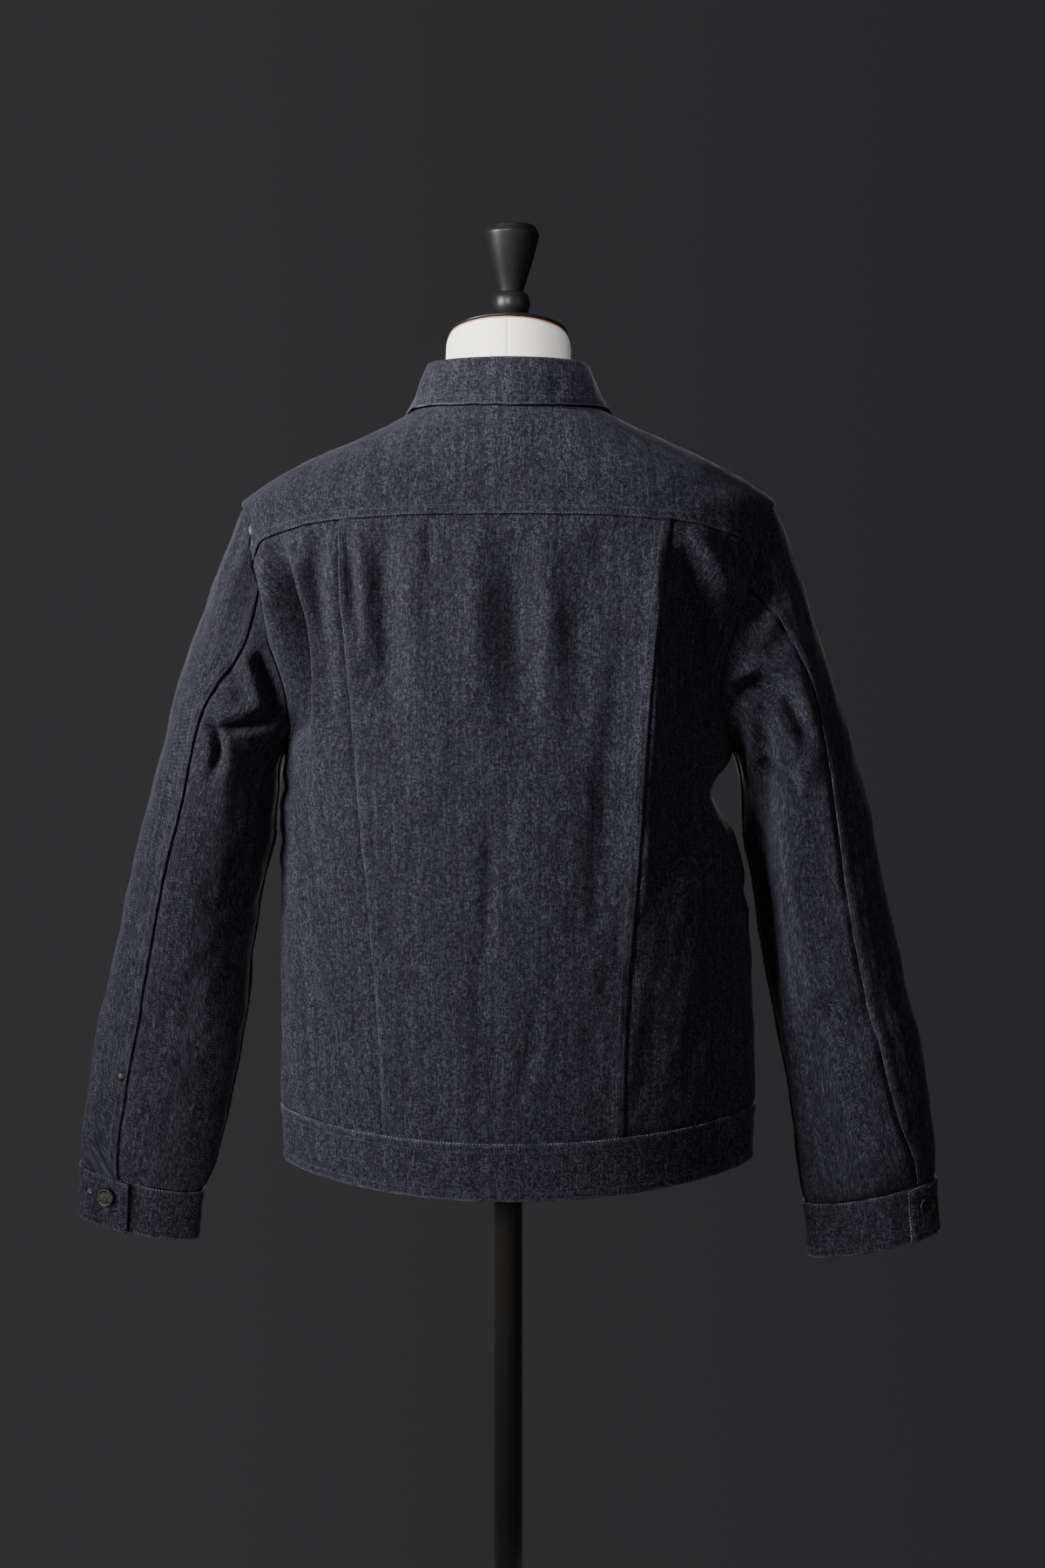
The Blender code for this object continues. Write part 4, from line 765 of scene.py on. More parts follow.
def yoke_point(share):
    """A point of the yoke's outer edge, from the left shoulder seam to the right."""
    hand = -1 if share < .5 else 1
    if YOKE_ARM <= share <= 1 - YOKE_ARM:
        out = (share - YOKE_ARM) / (1 - 2 * YOKE_ARM) * 2 - 1
        return yoke_seam(-1 if out < 0 else 1, np.array([abs(out)]))[0]
    part = share / YOKE_ARM if hand < 0 else (1 - share) / YOKE_ARM
    turn = 360 - SHOULDER_TURN - (360 - SHOULDER_TURN - YOKE_TURN) * part
    point = armhole([min(turn, 360 - turn)], hand, -1 if turn <= 180 else 1)[0]
    return point + (2 * pi if hand > 0 and point[0] < pi else 0, 0)


ups = spaced(.13)
acrosses = np.unique(np.concatenate((spaced(.78, .0048), (YOKE_ARM, 1 - YOKE_ARM))))
bottom = np.array([yoke_point(share) for share in acrosses])
neck_angles = np.interp(acrosses, (0, YOKE_ARM, 1 - YOKE_ARM, 1), np.radians((145, 192, 348, 395)))
top = points_of(neck_angles, NECKLINE)
field = patch(bottom, top, straight(bottom[0], top[0], ups), straight(bottom[-1], top[-1], ups),
              acrosses, ups)
yoke = body_piece("yoke", field, {"low": OVER, "left": OVER, "right": OVER, "high": UNDER},
                  denim_yoke, "back_yoke")

# ---------------------------------------------------------------- fronts
# Plain fronts from the side seams and armholes to the centre, without pockets.
# The shoulder seams lie under the yoke, the centre edges under the placket.

CHEST = 1.115           # where the line from the underarm meets the centre front


def centre_line(hand, shares):
    """Centre front up to the neckline, then along the neckline to the shoulder seam."""
    split = UNDERARM_SHARE + (1 - UNDERARM_SHARE) * .7
    height = np.interp(shares, (0, UNDERARM_SHARE, split), (BAND_TOP, CHEST, NECKLINE))
    neck_end = radians(SHOULDER_NECK if hand > 0 else 180 - SHOULDER_NECK)
    return points_of(np.interp(shares, (split, 1), (pi / 2, neck_end)), height)


ups, acrosses = spaced(.640), spaced(.225)
for hand, word in HANDS.items():
    outer, inner = side_line(hand, 1, ups, SHOULDER_TURN), centre_line(hand, ups)
    top = straight(outer[-1], inner[-1], acrosses)
    piece = body_piece("front_panel_" + word, between(hand, outer, inner, top, acrosses, ups),
                       {"left": UNDER, "right": UNDER, "low": UNDER, "high": UNDER},
                       denim_lengthwise, "front_" + word)

# ---------------------------------------------------------------- placket
# A doubled strip 36 mm wide down the centre front, stitched along both edges. It
# carries the buttonholes and lies over the two fronts.

PLACKET_WIDTH, PLACKET_LIFT = .036, .0021
ups, acrosses = spaced(.640), spaced(PLACKET_WIDTH, .003)
height, x = np.meshgrid(BAND_TOP + (NECKLINE - BAND_TOP) * ups,
                        PLACKET_WIDTH / 2 - PLACKET_WIDTH * acrosses, indexing="ij")
placket = cloth_piece("placket", body_cloth(angle_at_x(x, height, 1), height, PLACKET_LIFT),
                      {"left": FREE, "right": FREE, "low": UNDER, "high": UNDER},
                      denim_lengthwise, "front_placket", wall=.0018)

# ---------------------------------------------------------------- waistband
# A doubled band with its grain around the hem, felled over the panels' lower ends.
# Its front end laps the other by 33 mm and carries the last button.

BAND_LAP, BAND_UNDERLAP, BAND_LIFT = .0190, .0140, .0006
start = float(angle_at_x(BAND_LAP, HEM, 1))
end = float(angle_at_x(-BAND_UNDERLAP, HEM, 1)) + 2 * pi
ups, acrosses = spaced(.0505, .0042), spaced(1.06, .0046)
height, angle = np.meshgrid(HEM + (BAND_TOP - HEM) * ups,
                            start + (end - start) * acrosses, indexing="ij")
under = ease((angle - (2 * pi + start - .09)) / .07)
waistband = cloth_piece("hem_band", body_cloth(angle, height, BAND_LIFT - UNDERLAP_SINK * under),
                        {"low": FREE, "high": OVER, "left": OVER}, denim_crosswise,
                        "waistband", DOUBLE_WALL)

# Two short rows of darker thread hold the side tucks of the band.
TACK_STEP = .0034
tack_work = bmesh.new()
for x, high, low in ((-.185, .8040, .7885), (-.1705, .8040, .7815)):
    for z in np.arange(high, low, -TACK_STEP):
        turn = angle_at_x(np.array([x]), np.array([z]), -1)
        place = Matrix.Translation(body_cloth(turn, np.array([z]), .0009)[0])
        bmesh.ops.create_uvsphere(
            tack_work, u_segments=8, v_segments=5, radius=1,
            matrix=place @ Matrix.Diagonal((.00040, .00040, .00125, 1))
            @ Matrix.Rotation(.12, 4, "Y"))
tack_thread = new_finish("tack_thread", {"Base Color": (.060, .063, .080, 1), "Roughness": .7})
tacks = assembled("hem_band_tacks", tack_work, tack_thread)
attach(tacks, "root")

# ---------------------------------------------------------------- collar
# A stand sewn to the neckline and a doubled leaf that folds over it. The leaf is
# cut crosswise, so its twill leans the other way.

STAND_LEFT, STAND_RIGHT, STAND_BACK, STAND_FRONT = .0735, .0705, .0655, .0640
STAND_TOP, STAND_FRONT_DROP = 1.4815, .0830
STAND_START, STAND_TURN = 86, 368       # its ends lap by 8 degrees at the front
COLLAR_LAP = .0011      # half the step between the stand's two lapped ends
LEAF_LIFT = .0029
LEAF_EDGE = table("turn body_turn height", (0, 0, 1.4392), (60, 52, 1.4405), (95, 82, 1.4415),
                  (125, 106, 1.4280), (150, 124, 1.3950), (178, 146, 1.3350))


def stand_edge(turn):
    """Top edge of the collar stand. The turn is 0 at the centre back, +-180 at the front."""
    angle = np.radians(turn) - pi / 2
    side, depth = np.cos(angle), np.sin(angle)
    deep = np.where(depth > 0, STAND_FRONT, STAND_BACK)
    half = np.where(side > 0, STAND_RIGHT, STAND_LEFT)
    radius = 1 / np.sqrt((side / half) ** 2 + (depth / deep) ** 2)
    x, y = radius * side, radius * depth
    share = np.clip((y + STAND_FRONT / 4) / (STAND_FRONT * 1.25), 0, 1.1)
    return points_of(x, y, STAND_TOP - STAND_FRONT_DROP * share ** 1.35)


def clear_of_body(points, lift):
    """Move points outwards until they lie at least `lift` outside the body."""
    angle = np.arctan2(points[..., 1], points[..., 0])
    low, high = np.full(angle.shape, UNDERARM), np.full(angle.shape, NECKLINE)
    for _ in range(20):
        middle = (low + high) / 2
        above = smooth_body(angle, middle)[..., 2] > points[..., 2]
        high, low = np.where(above, middle, high), np.where(above, low, middle)
    tilt = np.maximum(np.linalg.norm(body_normal(angle, low)[..., :2], axis=-1), 0.4)
    radius = np.linalg.norm(points[..., :2], axis=-1)
    needed = np.linalg.norm(smooth_body(angle, low)[..., :2], axis=-1) + lift / tilt
    grown = np.where(low < NECKLINE - 1e-4, np.maximum(radius, needed), radius) / radius
    return points * points_of(grown, grown, 1.0)


angles = np.radians(STAND_START + STAND_TURN * spaced(.475, .005))
lap = COLLAR_LAP * (ease((angles - 7.45) / .3) - ease((1.97 - angles) / .3))
lap = lap[:, None] * points_of(np.cos(angles), np.sin(angles), 0)
base = smooth_body(angles, NECKLINE) + lap
edge = stand_edge(np.degrees(angles) - 270) + lap
ups = spaced(.035, .004)[:, None, None]
stand = cloth_piece("collar_band", base * (1 - ups) + edge * ups,
                    {"low": OVER, "left": FREE, "right": FREE}, denim_crosswise,
                    "collar_stand")

# The leaf's rows run from its rim up to the crest of the fold, then over it.
turns = -178 + 356 * spaced(.56, .0048)
body_turn = np.sign(turns) * through(LEAF_EDGE, "body_turn", np.abs(turns))
rim = body_cloth(np.radians(body_turn) - pi / 2, through(LEAF_EDGE, "height", np.abs(turns)),
                 LEAF_LIFT)
edge = stand_edge(turns)
along = unit(np.gradient(edge, axis=0))
up = edge - smooth_body(np.radians(turns) - pi / 2, NECKLINE)
up = unit(up - along * np.sum(up * along, axis=-1, keepdims=True))
out = unit(np.cross(along, up))
crest = edge + out * .0040 - up * .0006
corner = edge + out * .0036 + up * .0034
roof = edge - out * .0009 + up * .0035
wave = .0009 * np.sin(np.radians(turns) * 7 + .6) + .0006 * np.sin(np.radians(turns) * 17)
rows = []
for share in spaced(.045, .0036)[:-4]:
    bulge = sin(pi * share) * (.0030 + wave)[:, None]
    rows.append(clear_of_body(rim * (1 - share) + crest * share + out * bulge, LEAF_LIFT))
rows += [bent(crest, corner, roof, share) for share in np.linspace(0, 1, 8)]
leaf = cloth_piece("collar_leaf", np.array(rows), {"low": OVER, "left": FREE, "right": FREE},
                   denim_crosswise, "collar_fall", DOUBLE_WALL)

# ---------------------------------------------------------------- sleeves
# Two-piece sleeves hang from the armholes, slightly bent. The upper piece is felled
# over the under piece at the back seam and at the underarm seam.

SLEEVE_COLUMNS = "step outer_reach outer_z inner_reach inner_z depth middle_y seam"
SLEEVE_END, SLEEVE_LENGTH = 11, .62     # the step at the cuff, and the way there
HOLE_STEPS = 2.6        # steps in which a sleeve leaves the armhole's own shape
ALLOWANCE = ((1.10, -.0045), (1.04, -.0030))    # its hidden rows: growth and lift
SLEEVES = {-1: table(
    SLEEVE_COLUMNS,
    (0, .2432, 1.3552, .2045, 1.1340, .0700, .004, .342),
    (1, .2648, 1.3000, .2105, 1.1220, .0740, .004, .180),
    (2, .2850, 1.2450, .2130, 1.1000, .0740, .003, .290),
    (3, .3010, 1.2000, .2145, 1.0800, .0720, .002, .370),
    (4, .3160, 1.1424, .2152, 1.0568, .0680, .002, .380),
    (5, .3328, 1.0788, .2210, 1.0350, .0630, .003, .355),
    (6, .3478, 1.0189, .2300, .9938, .0590, .006, .360),
    (7, .3592, .9683, .2381, .9427, .0560, .010, .365),
    (8, .3721, .9155, .2429, .8890, .0530, .015, .370),
    (9, .3827, .8705, .2514, .8442, .0500, .020, .360),
    (10, .3932, .8125, .2645, .7841, .0450, .024, .360),
    (10.6, .3995, .7700, .2755, .7420, .0380, .026, .340),
    (11, .4012, .7437, .2870, .7180, .0245, .027, .300),
), 1: table(
    SLEEVE_COLUMNS,
    (0, .2425, 1.3552, .2060, 1.1340, .0700, .004, .342),
    (1, .2640, 1.3000, .2100, 1.1220, .0740, .004, .480),
    (2, .2812, 1.2450, .2130, 1.1000, .0740, .003, .500),
    (3, .2958, 1.2000, .2145, 1.0800, .0720, .002, .470),
    (4, .3127, 1.1424, .2155, 1.0568, .0680, .002, .410),
    (5, .3304, 1.0788, .2190, 1.0350, .0630, .003, .310),
    (6, .3423, 1.0189, .2274, .9938, .0590, .006, .265),
    (7, .3547, .9683, .2349, .9427, .0560, .010, .245),
    (8, .3669, .9155, .2450, .8890, .0530, .015, .265),
    (9, .3802, .8705, .2545, .8442, .0500, .020, .290),
    (10, .3910, .8060, .2655, .7780, .0450, .024, .400),
    (10.6, .3965, .7600, .2715, .7330, .0380, .026, .590),
    (11, .3981, .7302, .2757, .7074, .0245, .027, .660),
)}
SLEEVE_FOLDS = {-1: creases(
    back=(
        (-.2240, 1.222, -.2090, 1.208, -.2010, 1.168, .0095, -.0120),
        (-.2560, 1.160, -.2380, 1.153, -.2070, 1.164, .0060, -.0075),
        (-.2580, 1.174, -.2380, 1.171, -.2140, 1.178, .0090, +.0050),
        (-.2690, 1.172, -.2425, 1.145, -.2650, 1.110, .0070, -.0055),
        (-.2700, .905, -.3050, .880, -.3450, .895, .0180, -.0040)),
    front=(
        (-.2350, 1.170, -.2600, 1.150, -.2950, 1.150, .0120, -.0070),
        (-.2450, 1.110, -.2700, 1.090, -.3050, 1.095, .0130, -.0060),
        (-.2600, 1.020, -.2900, 1.000, -.3300, 1.010, .0160, -.0050)),
), 1: creases(
    back=(
        (+.2340, 1.272, +.2160, 1.256, +.1985, 1.230, .0100, -.0065),
        (+.1935, 1.178, +.2320, 1.236, +.2625, 1.146, .0070, -.0080),
        (+.2120, 1.222, +.2500, 1.222, +.2700, 1.160, .0110, +.0045),
        (+.2200, 1.127, +.2464, 1.118, +.2570, 1.103, .0070, -.0055),
        (+.2700, .900, +.3050, .880, +.3450, .900, .0180, -.0040)),
    front=(
        (+.2350, 1.165, +.2600, 1.150, +.2950, 1.155, .0120, -.0070),
        (+.2450, 1.100, +.2700, 1.085, +.3050, 1.100, .0130, -.0060),
        (+.2600, 1.010, +.2900, .995, +.3300, 1.015, .0160, -.0050)),
)}
SLEEVE_CREASES = {-1: creases(
    back=(
        (-.2560, 1.160, -.2380, 1.153, -.2070, 1.164, .0038, -.0035),
        (-.2580, 1.171, -.2380, 1.167, -.2120, 1.177, .0060, +.0035),
        (-.2690, 1.172, -.2425, 1.145, -.2650, 1.110, .0042, -.0035),
        (-.2600, 1.152, -.2340, 1.140, -.2560, 1.100, .0060, +.0022),
        (-.2240, 1.222, -.2090, 1.208, -.2010, 1.168, .0055, -.0045),
        (-.2370, 1.226, -.2240, 1.205, -.2210, 1.172, .0070, +.0040),
        (-.2480, 1.240, -.2420, 1.215, -.2450, 1.190, .0070, -.0010),
        (-.3080, 1.130, -.2900, 1.100, -.2950, 1.060, .0090, -.0014),
        (-.2420, 1.000, -.2700, .985, -.3050, .990, .0080, -.0014),
        (-.2600, .960, -.2850, .935, -.2950, .900, .0080, -.0012),
        (-.2850, .830, -.3100, .810, -.3150, .770, .0070, -.0014),
        (-.3500, .850, -.3550, .820, -.3600, .780, .0070, -.0014)),
    front=(
        (-.2450, 1.190, -.2700, 1.185, -.3050, 1.200, .0070, -.0024),
        (-.2550, 1.070, -.2850, 1.055, -.3200, 1.070, .0080, -.0020),
        (-.2700, .950, -.3000, .930, -.3450, .945, .0080, -.0018),
        (-.2900, .850, -.3200, .835, -.3650, .850, .0080, -.0016)),
), 1: creases(
    back=(
        (+.2340, 1.272, +.2160, 1.256, +.1985, 1.230, .0060, -.0050),
        (+.2450, 1.262, +.2280, 1.240, +.2050, 1.212, .0080, +.0040),
        (+.1880, 1.172, +.2080, 1.208, +.2380, 1.184, .0060, -.0100),
        (+.1960, 1.196, +.2150, 1.226, +.2420, 1.200, .0080, +.0075),
        (+.2500, 1.196, +.2660, 1.172, +.2720, 1.136, .0060, +.0020),
        (+.2110, 1.182, +.2150, 1.140, +.2210, 1.060, .0060, +.0080),
        (+.2300, 1.176, +.2420, 1.158, +.2560, 1.132, .0085, +.0060),
        (+.2220, 1.128, +.2440, 1.118, +.2570, 1.104, .0040, -.0040),
        (+.2240, 1.137, +.2480, 1.128, +.2620, 1.112, .0050, +.0026),
        (+.2050, 1.160, +.2200, 1.020, +.2440, .880, .0150, -.0100),
        (+.2330, 1.120, +.2560, 1.000, +.2800, .880, .0140, +.0050),
        (+.2602, 1.153, +.2660, 1.129, +.2602, 1.105, .0090, +.0020),
        (+.1991, 1.176, +.2120, 1.170, +.2159, 1.153, .0050, -.0014),
        (+.2450, 1.010, +.2700, .990, +.3050, 1.000, .0080, -.0014),
        (+.2550, .940, +.2800, .925, +.2950, .890, .0080, -.0012),
        (+.2850, .830, +.3050, .805, +.3100, .765, .0070, -.0014)),
    front=(
        (+.2450, 1.195, +.2700, 1.190, +.3050, 1.205, .0070, -.0024),
        (+.2550, 1.060, +.2850, 1.050, +.3200, 1.065, .0080, -.0020),
        (+.2700, .955, +.3000, .935, +.3450, .950, .0080, -.0018),
        (+.2900, .845, +.3200, .830, +.3650, .845, .0080, -.0016)),
)}


def armhole_edge(hand, turns, grow=1.0, lift=0.0):
    """The armhole's points on the worn body, for turns from 0 to 360."""
    behind = armhole(np.minimum(turns, 180), hand, -1, grow)
    before = armhole(np.minimum(360 - turns, 180), hand, 1, grow)
    line = np.where((turns <= 180)[..., None], behind, before)
    return body_cloth(line[..., 0], line[..., 1], lift)


def sleeve_point(hand, turns, steps, hole):
    """Outer face of a sleeve: `turns` around it, `steps` down from the armhole."""
    def ring(at):
        outer_reach, outer_z, inner_reach, inner_z, depth, y = (
            through(SLEEVES[hand], name, at) for name in SLEEVE_COLUMNS.split()[1:-1])
        outer = points_of(hand * outer_reach, y, outer_z)
        inner = points_of(hand * inner_reach, y, inner_z)
        swing = np.radians(turns)[..., None]
        back = points_of(0, -depth, 0)
        return (outer + inner) / 2 - (outer - inner) / 2 * np.cos(swing) + back * np.sin(swing)

    fade = 1 - ease(steps / HOLE_STEPS)
    return ring(steps) + (hole - ring(np.zeros_like(steps))) * fade[..., None]


def sleeve_cloth(hand, turns, steps):
    """Outer face of the worn sleeve with its folds, and its normals."""
    hole = armhole_edge(hand, turns)
    smooth = sleeve_point(hand, turns, steps, hole)
    around = (sleeve_point(hand, turns + .5, steps, armhole_edge(hand, turns + .5))
              - sleeve_point(hand, turns - .5, steps, armhole_edge(hand, turns - .5)))
    down = (sleeve_point(hand, turns, np.minimum(steps + .02, SLEEVE_END), hole)
            - sleeve_point(hand, turns, np.maximum(steps - .02, 0), hole))
    normal = unit(np.cross(around, down)) * -hand
    fade = ease(steps / .9) * ease((SLEEVE_END - steps) / .8)
    depth = (crease_depth(smooth, normal, SLEEVE_FOLDS[hand])
             + crease_depth(smooth, normal, SLEEVE_CREASES[hand], 1.5, .35)
             + unevenness(smooth * .8, .0016)) * fade
    return smooth + normal * depth[..., None], normal


for hand, word in HANDS.items():
    shares = spaced(SLEEVE_LENGTH, .0046)
    steps = SLEEVE_END * shares
    seam = np.degrees(np.arccos(-through(SLEEVES[hand], "seam", steps)))[:, None]
    for kind, width, low, high, sides, cut in (
            ("under", .20, 0, seam, UNDER, (.210, .600, .066)),
            ("upper", .30, seam, 360, OVER, (.360, .655, .159))):
        acrosses = spaced(width)
        field = low * (1 - acrosses) + high * acrosses
        points, normals = sleeve_cloth(hand, field, np.repeat(steps[:, None], len(acrosses), 1))
        sunk = SINK * (1 - ease(shares * SLEEVE_LENGTH / SINK_WIDTH))
        points -= normals * sunk[:, None, None]
        points = np.concatenate([armhole_edge(hand, field[:1], *row) for row in ALLOWANCE]
                                + [points])
        piece = cloth_piece("sleeve_%s_cloth_%s" % (kind, word), points[:, ::-hand],
                            {"high": UNDER, "left": sides, "right": sides},
                            denim_lengthwise, "sleeve_%s_%s" % (kind, word))

# ---------------------------------------------------------------- cuffs
# Doubled bands with their grain around the wrist. Each closes with a lapped tab
# end, a button and a buttonhole.

CUFF_COLUMNS = "outer_reach outer_z inner_reach inner_z depth tab_turn"
CUFFS = {-1: table(CUFF_COLUMNS, (.4035, .6952, .2908, .6724, .0225, 96))[0],
         1: table(CUFF_COLUMNS, (.4023, .6805, .2790, .6561, .0225, 119))[0]}
CUFF_LAP = 38           # degrees of a cuff's turn that lie under its tab
CUFF_LIFT, CUFF_HEIGHT = .0004, .0490
CUFF_BUTTON, CUFF_BUTTON_SHARE = 22, .40


def cuff_ring(hand, turns, share, lift=0.0):
    """Outer face of a cuff, share 0 at its seam and 1 at its lower edge."""
    top, low = SLEEVES[hand][-1], CUFFS[hand]
    turns, share = np.broadcast_arrays(np.asarray(turns, float), np.asarray(share, float))
    outer_reach, outer_z, inner_reach, inner_z, deep = (
        getattr(top, name) * (1 - share) + getattr(low, name) * share
        for name in CUFF_COLUMNS.split()[:-1])
    outer = points_of(hand * outer_reach, 0, outer_z)
    inner = points_of(hand * inner_reach, 0, inner_z)
    swing, deep = np.radians(turns)[..., None], deep[..., None]
    along = unit(outer - inner)
    half = np.linalg.norm(outer - inner, axis=-1, keepdims=True) / 2
    back = np.array((0, -1.0, 0))
    middle = (outer + inner) / 2 + np.array((0, top.middle_y, 0))
    normal = unit(-along * np.cos(swing) / half + back * np.sin(swing) / deep)
    point = middle - along * half * np.cos(swing) + back * deep * np.sin(swing)
    rough = unevenness(point * 1.4 + .3, .0006)
    return point + normal * (rough + np.asarray(lift))[..., None], normal


for hand, word in HANDS.items():
    tab = CUFFS[hand].tab_turn
    turns = tab + (360 + CUFF_LAP) * spaced(.27, .0036)
    share = .008 + .992 * spaced(.050, .0040)[:, None]
    under = ease((turns - (tab + 340)) / 16)
    points, normals = cuff_ring(hand, turns[None], share, (CUFF_LIFT - UNDERLAP_SINK * under)[None])
    piece = cloth_piece("cuff_band_" + word, points[:, ::-hand],
                        {"low": OVER, "high": FREE, word: OVER}, denim_crosswise,
                        "cuff_" + word, DOUBLE_WALL)

# ---------------------------------------------------------------- buttons and studs
# Plain dished jacket buttons of dark antiqued metal, 17 mm across, and the small
# domed studs that hold the tops of the sleeve vents.


def mottled(name, cycles, detail):
    """A new material with fine noise all over the piece."""
    material = new_finish(name)
    place = add_node(material.node_tree, "TexCoord", {})["Object"]
    return material, material.node_tree, add_node(
        material.node_tree, "TexNoise", {"Scale": cycles, "Detail": detail, "Vector": place})["Fac"]


dark_metal, tree, blotches = mottled("dark_metal", 420, 3)
finish(dark_metal, {
    "Base Color": blend_colours(tree, spread(tree, blotches, .35, .70), (.020, .019, .019),
                                (.060, .057, .055)),
    "Roughness": spread(tree, blotches, .3, .7, .42, .58), "Metallic": 1})


def seat_of(node, outward):
    """Place and direction of a turned CAD piece, from the spread of its points."""
    source = bpy.data.objects[node]
    spots = np.array([source.matrix_world @ vertex.co for vertex in source.data.vertices])
    middle = spots.mean(0)
    axis = np.linalg.eigh(np.cov((spots - middle).T))[1][:, 0]
    axis = axis * np.sign(axis @ np.array(outward))
    foot = ((spots - middle) @ axis).min()
    turn = Vector((0, 0, 1)).rotation_difference(Vector(axis)).to_matrix().to_4x4()
    return Matrix.Translation(middle + axis * foot) @ turn


def turned_piece(name, profile, segments, look, matrix, replaced):
    """Spin a profile of (radius, height) pairs about Z and set it in place."""
    work = bmesh.new()
    chain = [work.verts.new((radius, 0, height)) for radius, height in profile]
    edges = [work.edges.new(pair) for pair in zip(chain, chain[1:])]
    bmesh.ops.spin(work, geom=chain + edges, cent=(0, 0, 0), axis=(0, 0, 1), angle=2 * pi,
                   steps=segments, use_merge=True)
    bmesh.ops.remove_doubles(work, verts=work.verts, dist=1e-6)
    bmesh.ops.recalc_face_normals(work, faces=work.faces)
    work.transform(matrix)
    piece = assembled(name, work, look, 50)
    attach(piece, "root")
    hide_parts(replaced)
    return piece


BUTTON_RADIUS = r = .0085       # a buttonhole's middle is as far from its button
BUTTON = ((0, 0), (.0030, 0), (.0030, .0009), (r - .0008, .0010), (r - .0002, .0013),
          (r, .0019), (r - .0001, .0025), (r - .0006, .0030), (r - .0012, .0031),
          (r - .0017, .0030), (r - .0022, .0028), (r - .0032, .0028), (.0020, .0029),
          (0, .0030))
STUD = ((0, 0), (.0042, 0), (.0042, .0004), (.0039, .0007), (.0033, .0010), (.0031, .0009),
        (.0026, .0013), (.0017, .0017), (.0008, .0018), (0, .0018))
front_buttons = ["front_button_%d" % number for number in range(1, 7)]
for node in front_buttons + ["cuff_button_left", "cuff_button_right"]:
    outward = (0, 1 if node in front_buttons else -1, 0)
    turned_piece(node.replace("button", "disc"), BUTTON, 48, dark_metal, seat_of(node, outward),
                 node)
for node in ("vent_rivet_left", "vent_rivet_right"):
    turned_piece(node.replace("rivet", "stud"), STUD, 32, dark_metal, seat_of(node, (0, -1, 0)),
                 node)

# ---------------------------------------------------------------- buttonholes
# Hand-worked slits in the cuff tabs, the placket and the waistband, each bound with
# tonal thread that is thrown over its edge in short stitches.

hole_thread, tree, fibres = mottled("buttonhole_thread", 900, 2)
finish(hole_thread, {
    "Base Color": blend_colours(tree, spread(tree, fibres, .45, .70), (.018, .020, .030),
                                (.16, .165, .18)),
    "Roughness": .8})
HOLE_STITCHES = 56
HOLE_RIM = ((.0017, -.0002), (.00155, .0005), (.0010, .0008), (.00045, .0004),
            (.00030, -.0003))       # distance from the slit, and lift
CUFF_HOLE, FRONT_HOLE, FRONT_HOLE_SHIFT = .024, .020, .0040
FRONT_BUTTON_TOP, FRONT_BUTTON_LOW = 1.345, .7822


def buttonhole(name, surface, length):
    """A bound slit. `surface(s, t, lift)` gives the point s along and t across it."""
    turns = np.linspace(0, 2 * pi, HOLE_STITCHES, endpoint=False)
    work = bmesh.new()
    loops = []
    for radius, lift in HOLE_RIM:
        made = bmesh.ops.create_circle(work, cap_ends=radius < .0004, radius=1,
                                       segments=HOLE_STITCHES)
        pinch = radius + .00012 * (np.arange(HOLE_STITCHES) % 2) * (radius > .001)
        s = np.where(np.cos(turns) > 0, 1, -1) * (length / 2 - radius) + pinch * np.cos(turns)
        for vertex, place in zip(made["verts"], surface(s, pinch * np.sin(turns), lift)):
            vertex.co = place
        ring = set(made["verts"])
        loops.append([edge for edge in work.edges if ring.issuperset(edge.verts)])
    for outer_loop, inner_loop in zip(loops, loops[1:]):
        bmesh.ops.bridge_loops(work, edges=outer_loop + inner_loop)
    bmesh.ops.recalc_face_normals(work, faces=work.faces)
    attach(assembled(name, work, hole_thread), "root")


for hand, word in HANDS.items():
    centre = CUFFS[hand].tab_turn + CUFF_BUTTON
    fine = np.linspace(centre - 20, centre + 50, 400)
    line = cuff_ring(hand, fine, CUFF_BUTTON_SHARE)[0]
    run = np.concatenate(([0], np.cumsum(np.linalg.norm(np.diff(line, axis=0), axis=1))))
    run -= np.interp(centre, fine, run)

    def on_cuff(s, t, lift):
        return cuff_ring(hand, np.interp(s + BUTTON_RADIUS, run, fine),
                         CUFF_BUTTON_SHARE + t / CUFF_HEIGHT, CUFF_LIFT + lift)[0]

    buttonhole("buttonhole_cuff_" + word, on_cuff, CUFF_HOLE)

for number, z in enumerate(np.linspace(FRONT_BUTTON_TOP, FRONT_BUTTON_LOW, 6)):
    height = z + through(BODY, "front_drop", z)
    height = z + through(BODY, "front_drop", height)
    cloth_lift = BAND_LIFT if height < BAND_TOP else PLACKET_LIFT

    def on_placket(s, t, lift):
        at = np.full(np.shape(s), height) + t
        return body_cloth(angle_at_x(FRONT_HOLE_SHIFT - s, at, 1), at, cloth_lift + lift)

    buttonhole("buttonhole_front_%d" % (number + 1), on_placket, FRONT_HOLE)

# ---------------------------------------------------------------- dress form
# Limbless torso and neck under off-white linen, with a seam down the back of the
# neck; a black cap covers the neck's top under a black satin finial.

LINEN_PITCH = .0009     # between two threads
linen = new_finish("form_linen_weave")
tree = linen.node_tree
place, across, along = coordinates(tree, "cloth")
weave = product(tree, sine(tree, across, LINEN_PITCH), sine(tree, along, LINEN_PITCH))
weave = calc(tree, "MULTIPLY_ADD", speckle(tree, place, (900, 60), 2), 1.5, weave)
finish(linen, {
    "Base Color": blend_colours(tree, spread(tree, weave, -.6, 2.0), (.68, .655, .64),
                                (.86, .835, .82)),
    "Normal": add_node(tree, "Bump", {"Strength": .6, "Distance": .0001, "Height": weave})[0],
    "Roughness": .9, "Sheen Weight": .2})

